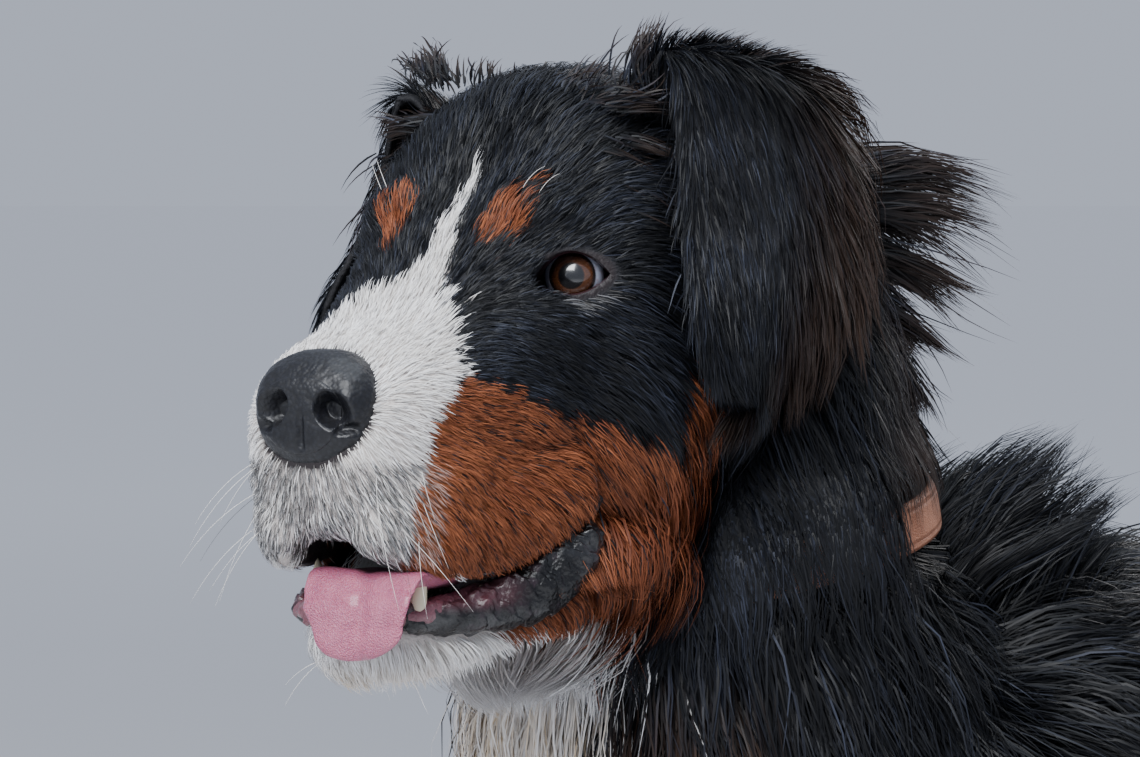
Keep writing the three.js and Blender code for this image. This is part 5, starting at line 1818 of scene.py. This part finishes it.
def mane(random):
    """Locks that stand up and curl back on the withers and behind the skull, one for each place of a grid."""
    spots = [
        ((x, y, 662 - 0.004 * x**2), (0.008 * x, 0.3, 1), long - 0.5 * abs(x))
        for x in (-44, -22, 0, 22, 44)
        for y, long in WITHERS_ROWS
    ]
    spots += [
        ((x, y - 0.004 * x**2, z), (0.004 * x + 0.12, 0.8, 0.016 * (z - 818)), long)
        for x in (-30, -10, 10, 30, 48)
        for y, z, long in NAPE_ROWS
    ]
    count, spread = MANE_STRANDS, np.array([1, 1, 0.5])
    root = np.concatenate([place + random.normal(0, 6, (count, 3)) * spread for place, _, _ in spots])
    way = unit(np.concatenate([unit(np.array(w)) + random.normal(0, 0.11, (count, 3)) for _, w, _ in spots]))
    long = np.concatenate([size * random.uniform(0.5, 1.05, count) for _, _, size in spots])[:, None, None]
    u = np.linspace(0, 1, 6)[None, :, None]
    sag = np.where(root[:, 2:] < 700, 0.23, 0.34)[:, None] * np.array([0, 0, -1])
    path = root[:, None] + way[:, None] * long * u + (sag + np.array([0, 0.3, 0])) * long * u**2
    bend = np.stack([ripple(root, 34, k) for k in (81, 82, 83)], -1)[:, None]
    path += long * (0.2 * bend * u**1.5 + 0.07 * bend[..., ::-1] * np.sin(7 * u) * u)
    for cell in (6, 20):
        path = gathered(path, cell, np.full(len(path), 0.6), random)
    return path


# Stage


FLOOR_HALF = 200000
FLOOR_LINES = 25


def build_floor(paint):
    """A flat square floor, so wide that its edge lies on the horizon."""
    x = np.linspace(-FLOOR_HALF, FLOOR_HALF, FLOOR_LINES)[:, None]
    points = np.stack([x + 0 * x.T, x.T + 0 * x, 0 * x + 0 * x.T], -1).reshape(-1, 3)
    floor = mesh_piece("floor", points, quads(FLOOR_LINES, FLOOR_LINES)[:, ::-1])
    floor.data.materials.append(paint)


def lamp(name, place, aim, size, power, colour):
    """A soft square light that faces a point."""
    data = bpy.data.lights.new(name, "AREA")
    data.energy = power
    data.size = size
    data.color = colour
    light = bpy.data.objects.new(name, data)
    light.location = (np.array(place) + SHIFT) * 0.001
    way = Vector(aim) - Vector(place)
    light.rotation_euler = way.to_track_quat("-Z", "Y").to_euler()
    bpy.context.scene.collection.objects.link(light)


def light_scene():
    """A pale surround, broad lights over the dog's left and overhead, a fill ahead and a rim light behind."""
    world = bpy.data.worlds.new("surround")
    world.use_nodes = True
    world.node_tree.nodes["Background"].inputs["Color"].default_value = (0.76, 0.83, 1.0, 1)
    world.node_tree.nodes["Background"].inputs["Strength"].default_value = 0.62
    bpy.context.scene.world = world
    lamp("key", (1300, -1500, 2500), (60, -200, 750), 1.5, 125, (0.95, 0.97, 1.0))
    lamp("sky", (200, 300, 3200), (60, 0, 700), 2.4, 45, (0.84, 0.92, 1.0))
    lamp("fill", (300, -2400, 1300), (60, -250, 700), 1.8, 8, (0.92, 0.96, 1.0))
    lamp("rim", (-900, 1500, 1800), (60, -150, 780), 1.4, 26, (1.0, 0.97, 0.94))


CAMERA_TURN = 62
CAMERA_RISE = 3
CAMERA_AWAY = 1500
CAMERA_AIM = (93.7, -269.2, 760.1)
PHOTO_WIDE = 0.4366  # metres that the picture spans at the point aimed at
SENSOR_WIDE = 36


def place_camera():
    """The camera: the photograph's side, height and framing."""
    turn, rise = math.radians(CAMERA_TURN), math.radians(CAMERA_RISE)
    back = np.array([math.sin(turn) * math.cos(rise), -math.cos(turn) * math.cos(rise), math.sin(rise)])
    data = bpy.data.cameras.new("camera")
    data.sensor_width = SENSOR_WIDE
    data.lens = SENSOR_WIDE * CAMERA_AWAY * 0.001 / PHOTO_WIDE
    data.clip_end = 100
    camera = bpy.data.objects.new("camera", data)
    camera.location = (np.array(CAMERA_AIM) + SHIFT + CAMERA_AWAY * back) * 0.001
    camera.rotation_euler = Vector(-back).to_track_quat("-Z", "Y").to_euler()
    bpy.context.scene.collection.objects.link(camera)
    bpy.context.scene.camera = camera


def main():
    place_camera()
    light_scene()
    build_floor(floor_paint())
    skin = build_skin()
    finish_skin(skin, skin_paint())
    eyes, wet = eye_paint(), wet_black_paint()
    for side in SIDES:
        build_eye(side, eyes)
        build_lids(side, wet)
    build_nose(nose_paint())
    build_tongue(tongue_paint())
    build_lips(wet)
    build_gums(wet)
    build_teeth(ivory_paint())
    build_claws(horn_paint())
    build_pads(pad_paint())
    build_collar(leather_paint(), metal_paint())
    build_whiskers(whisker_paint())
    coat = coat_paint()
    coat_on_skin(skin, coat)
    for side in SIDES:
        coat_on_ear(side, coat)
    coat_tufts(coat)


main()
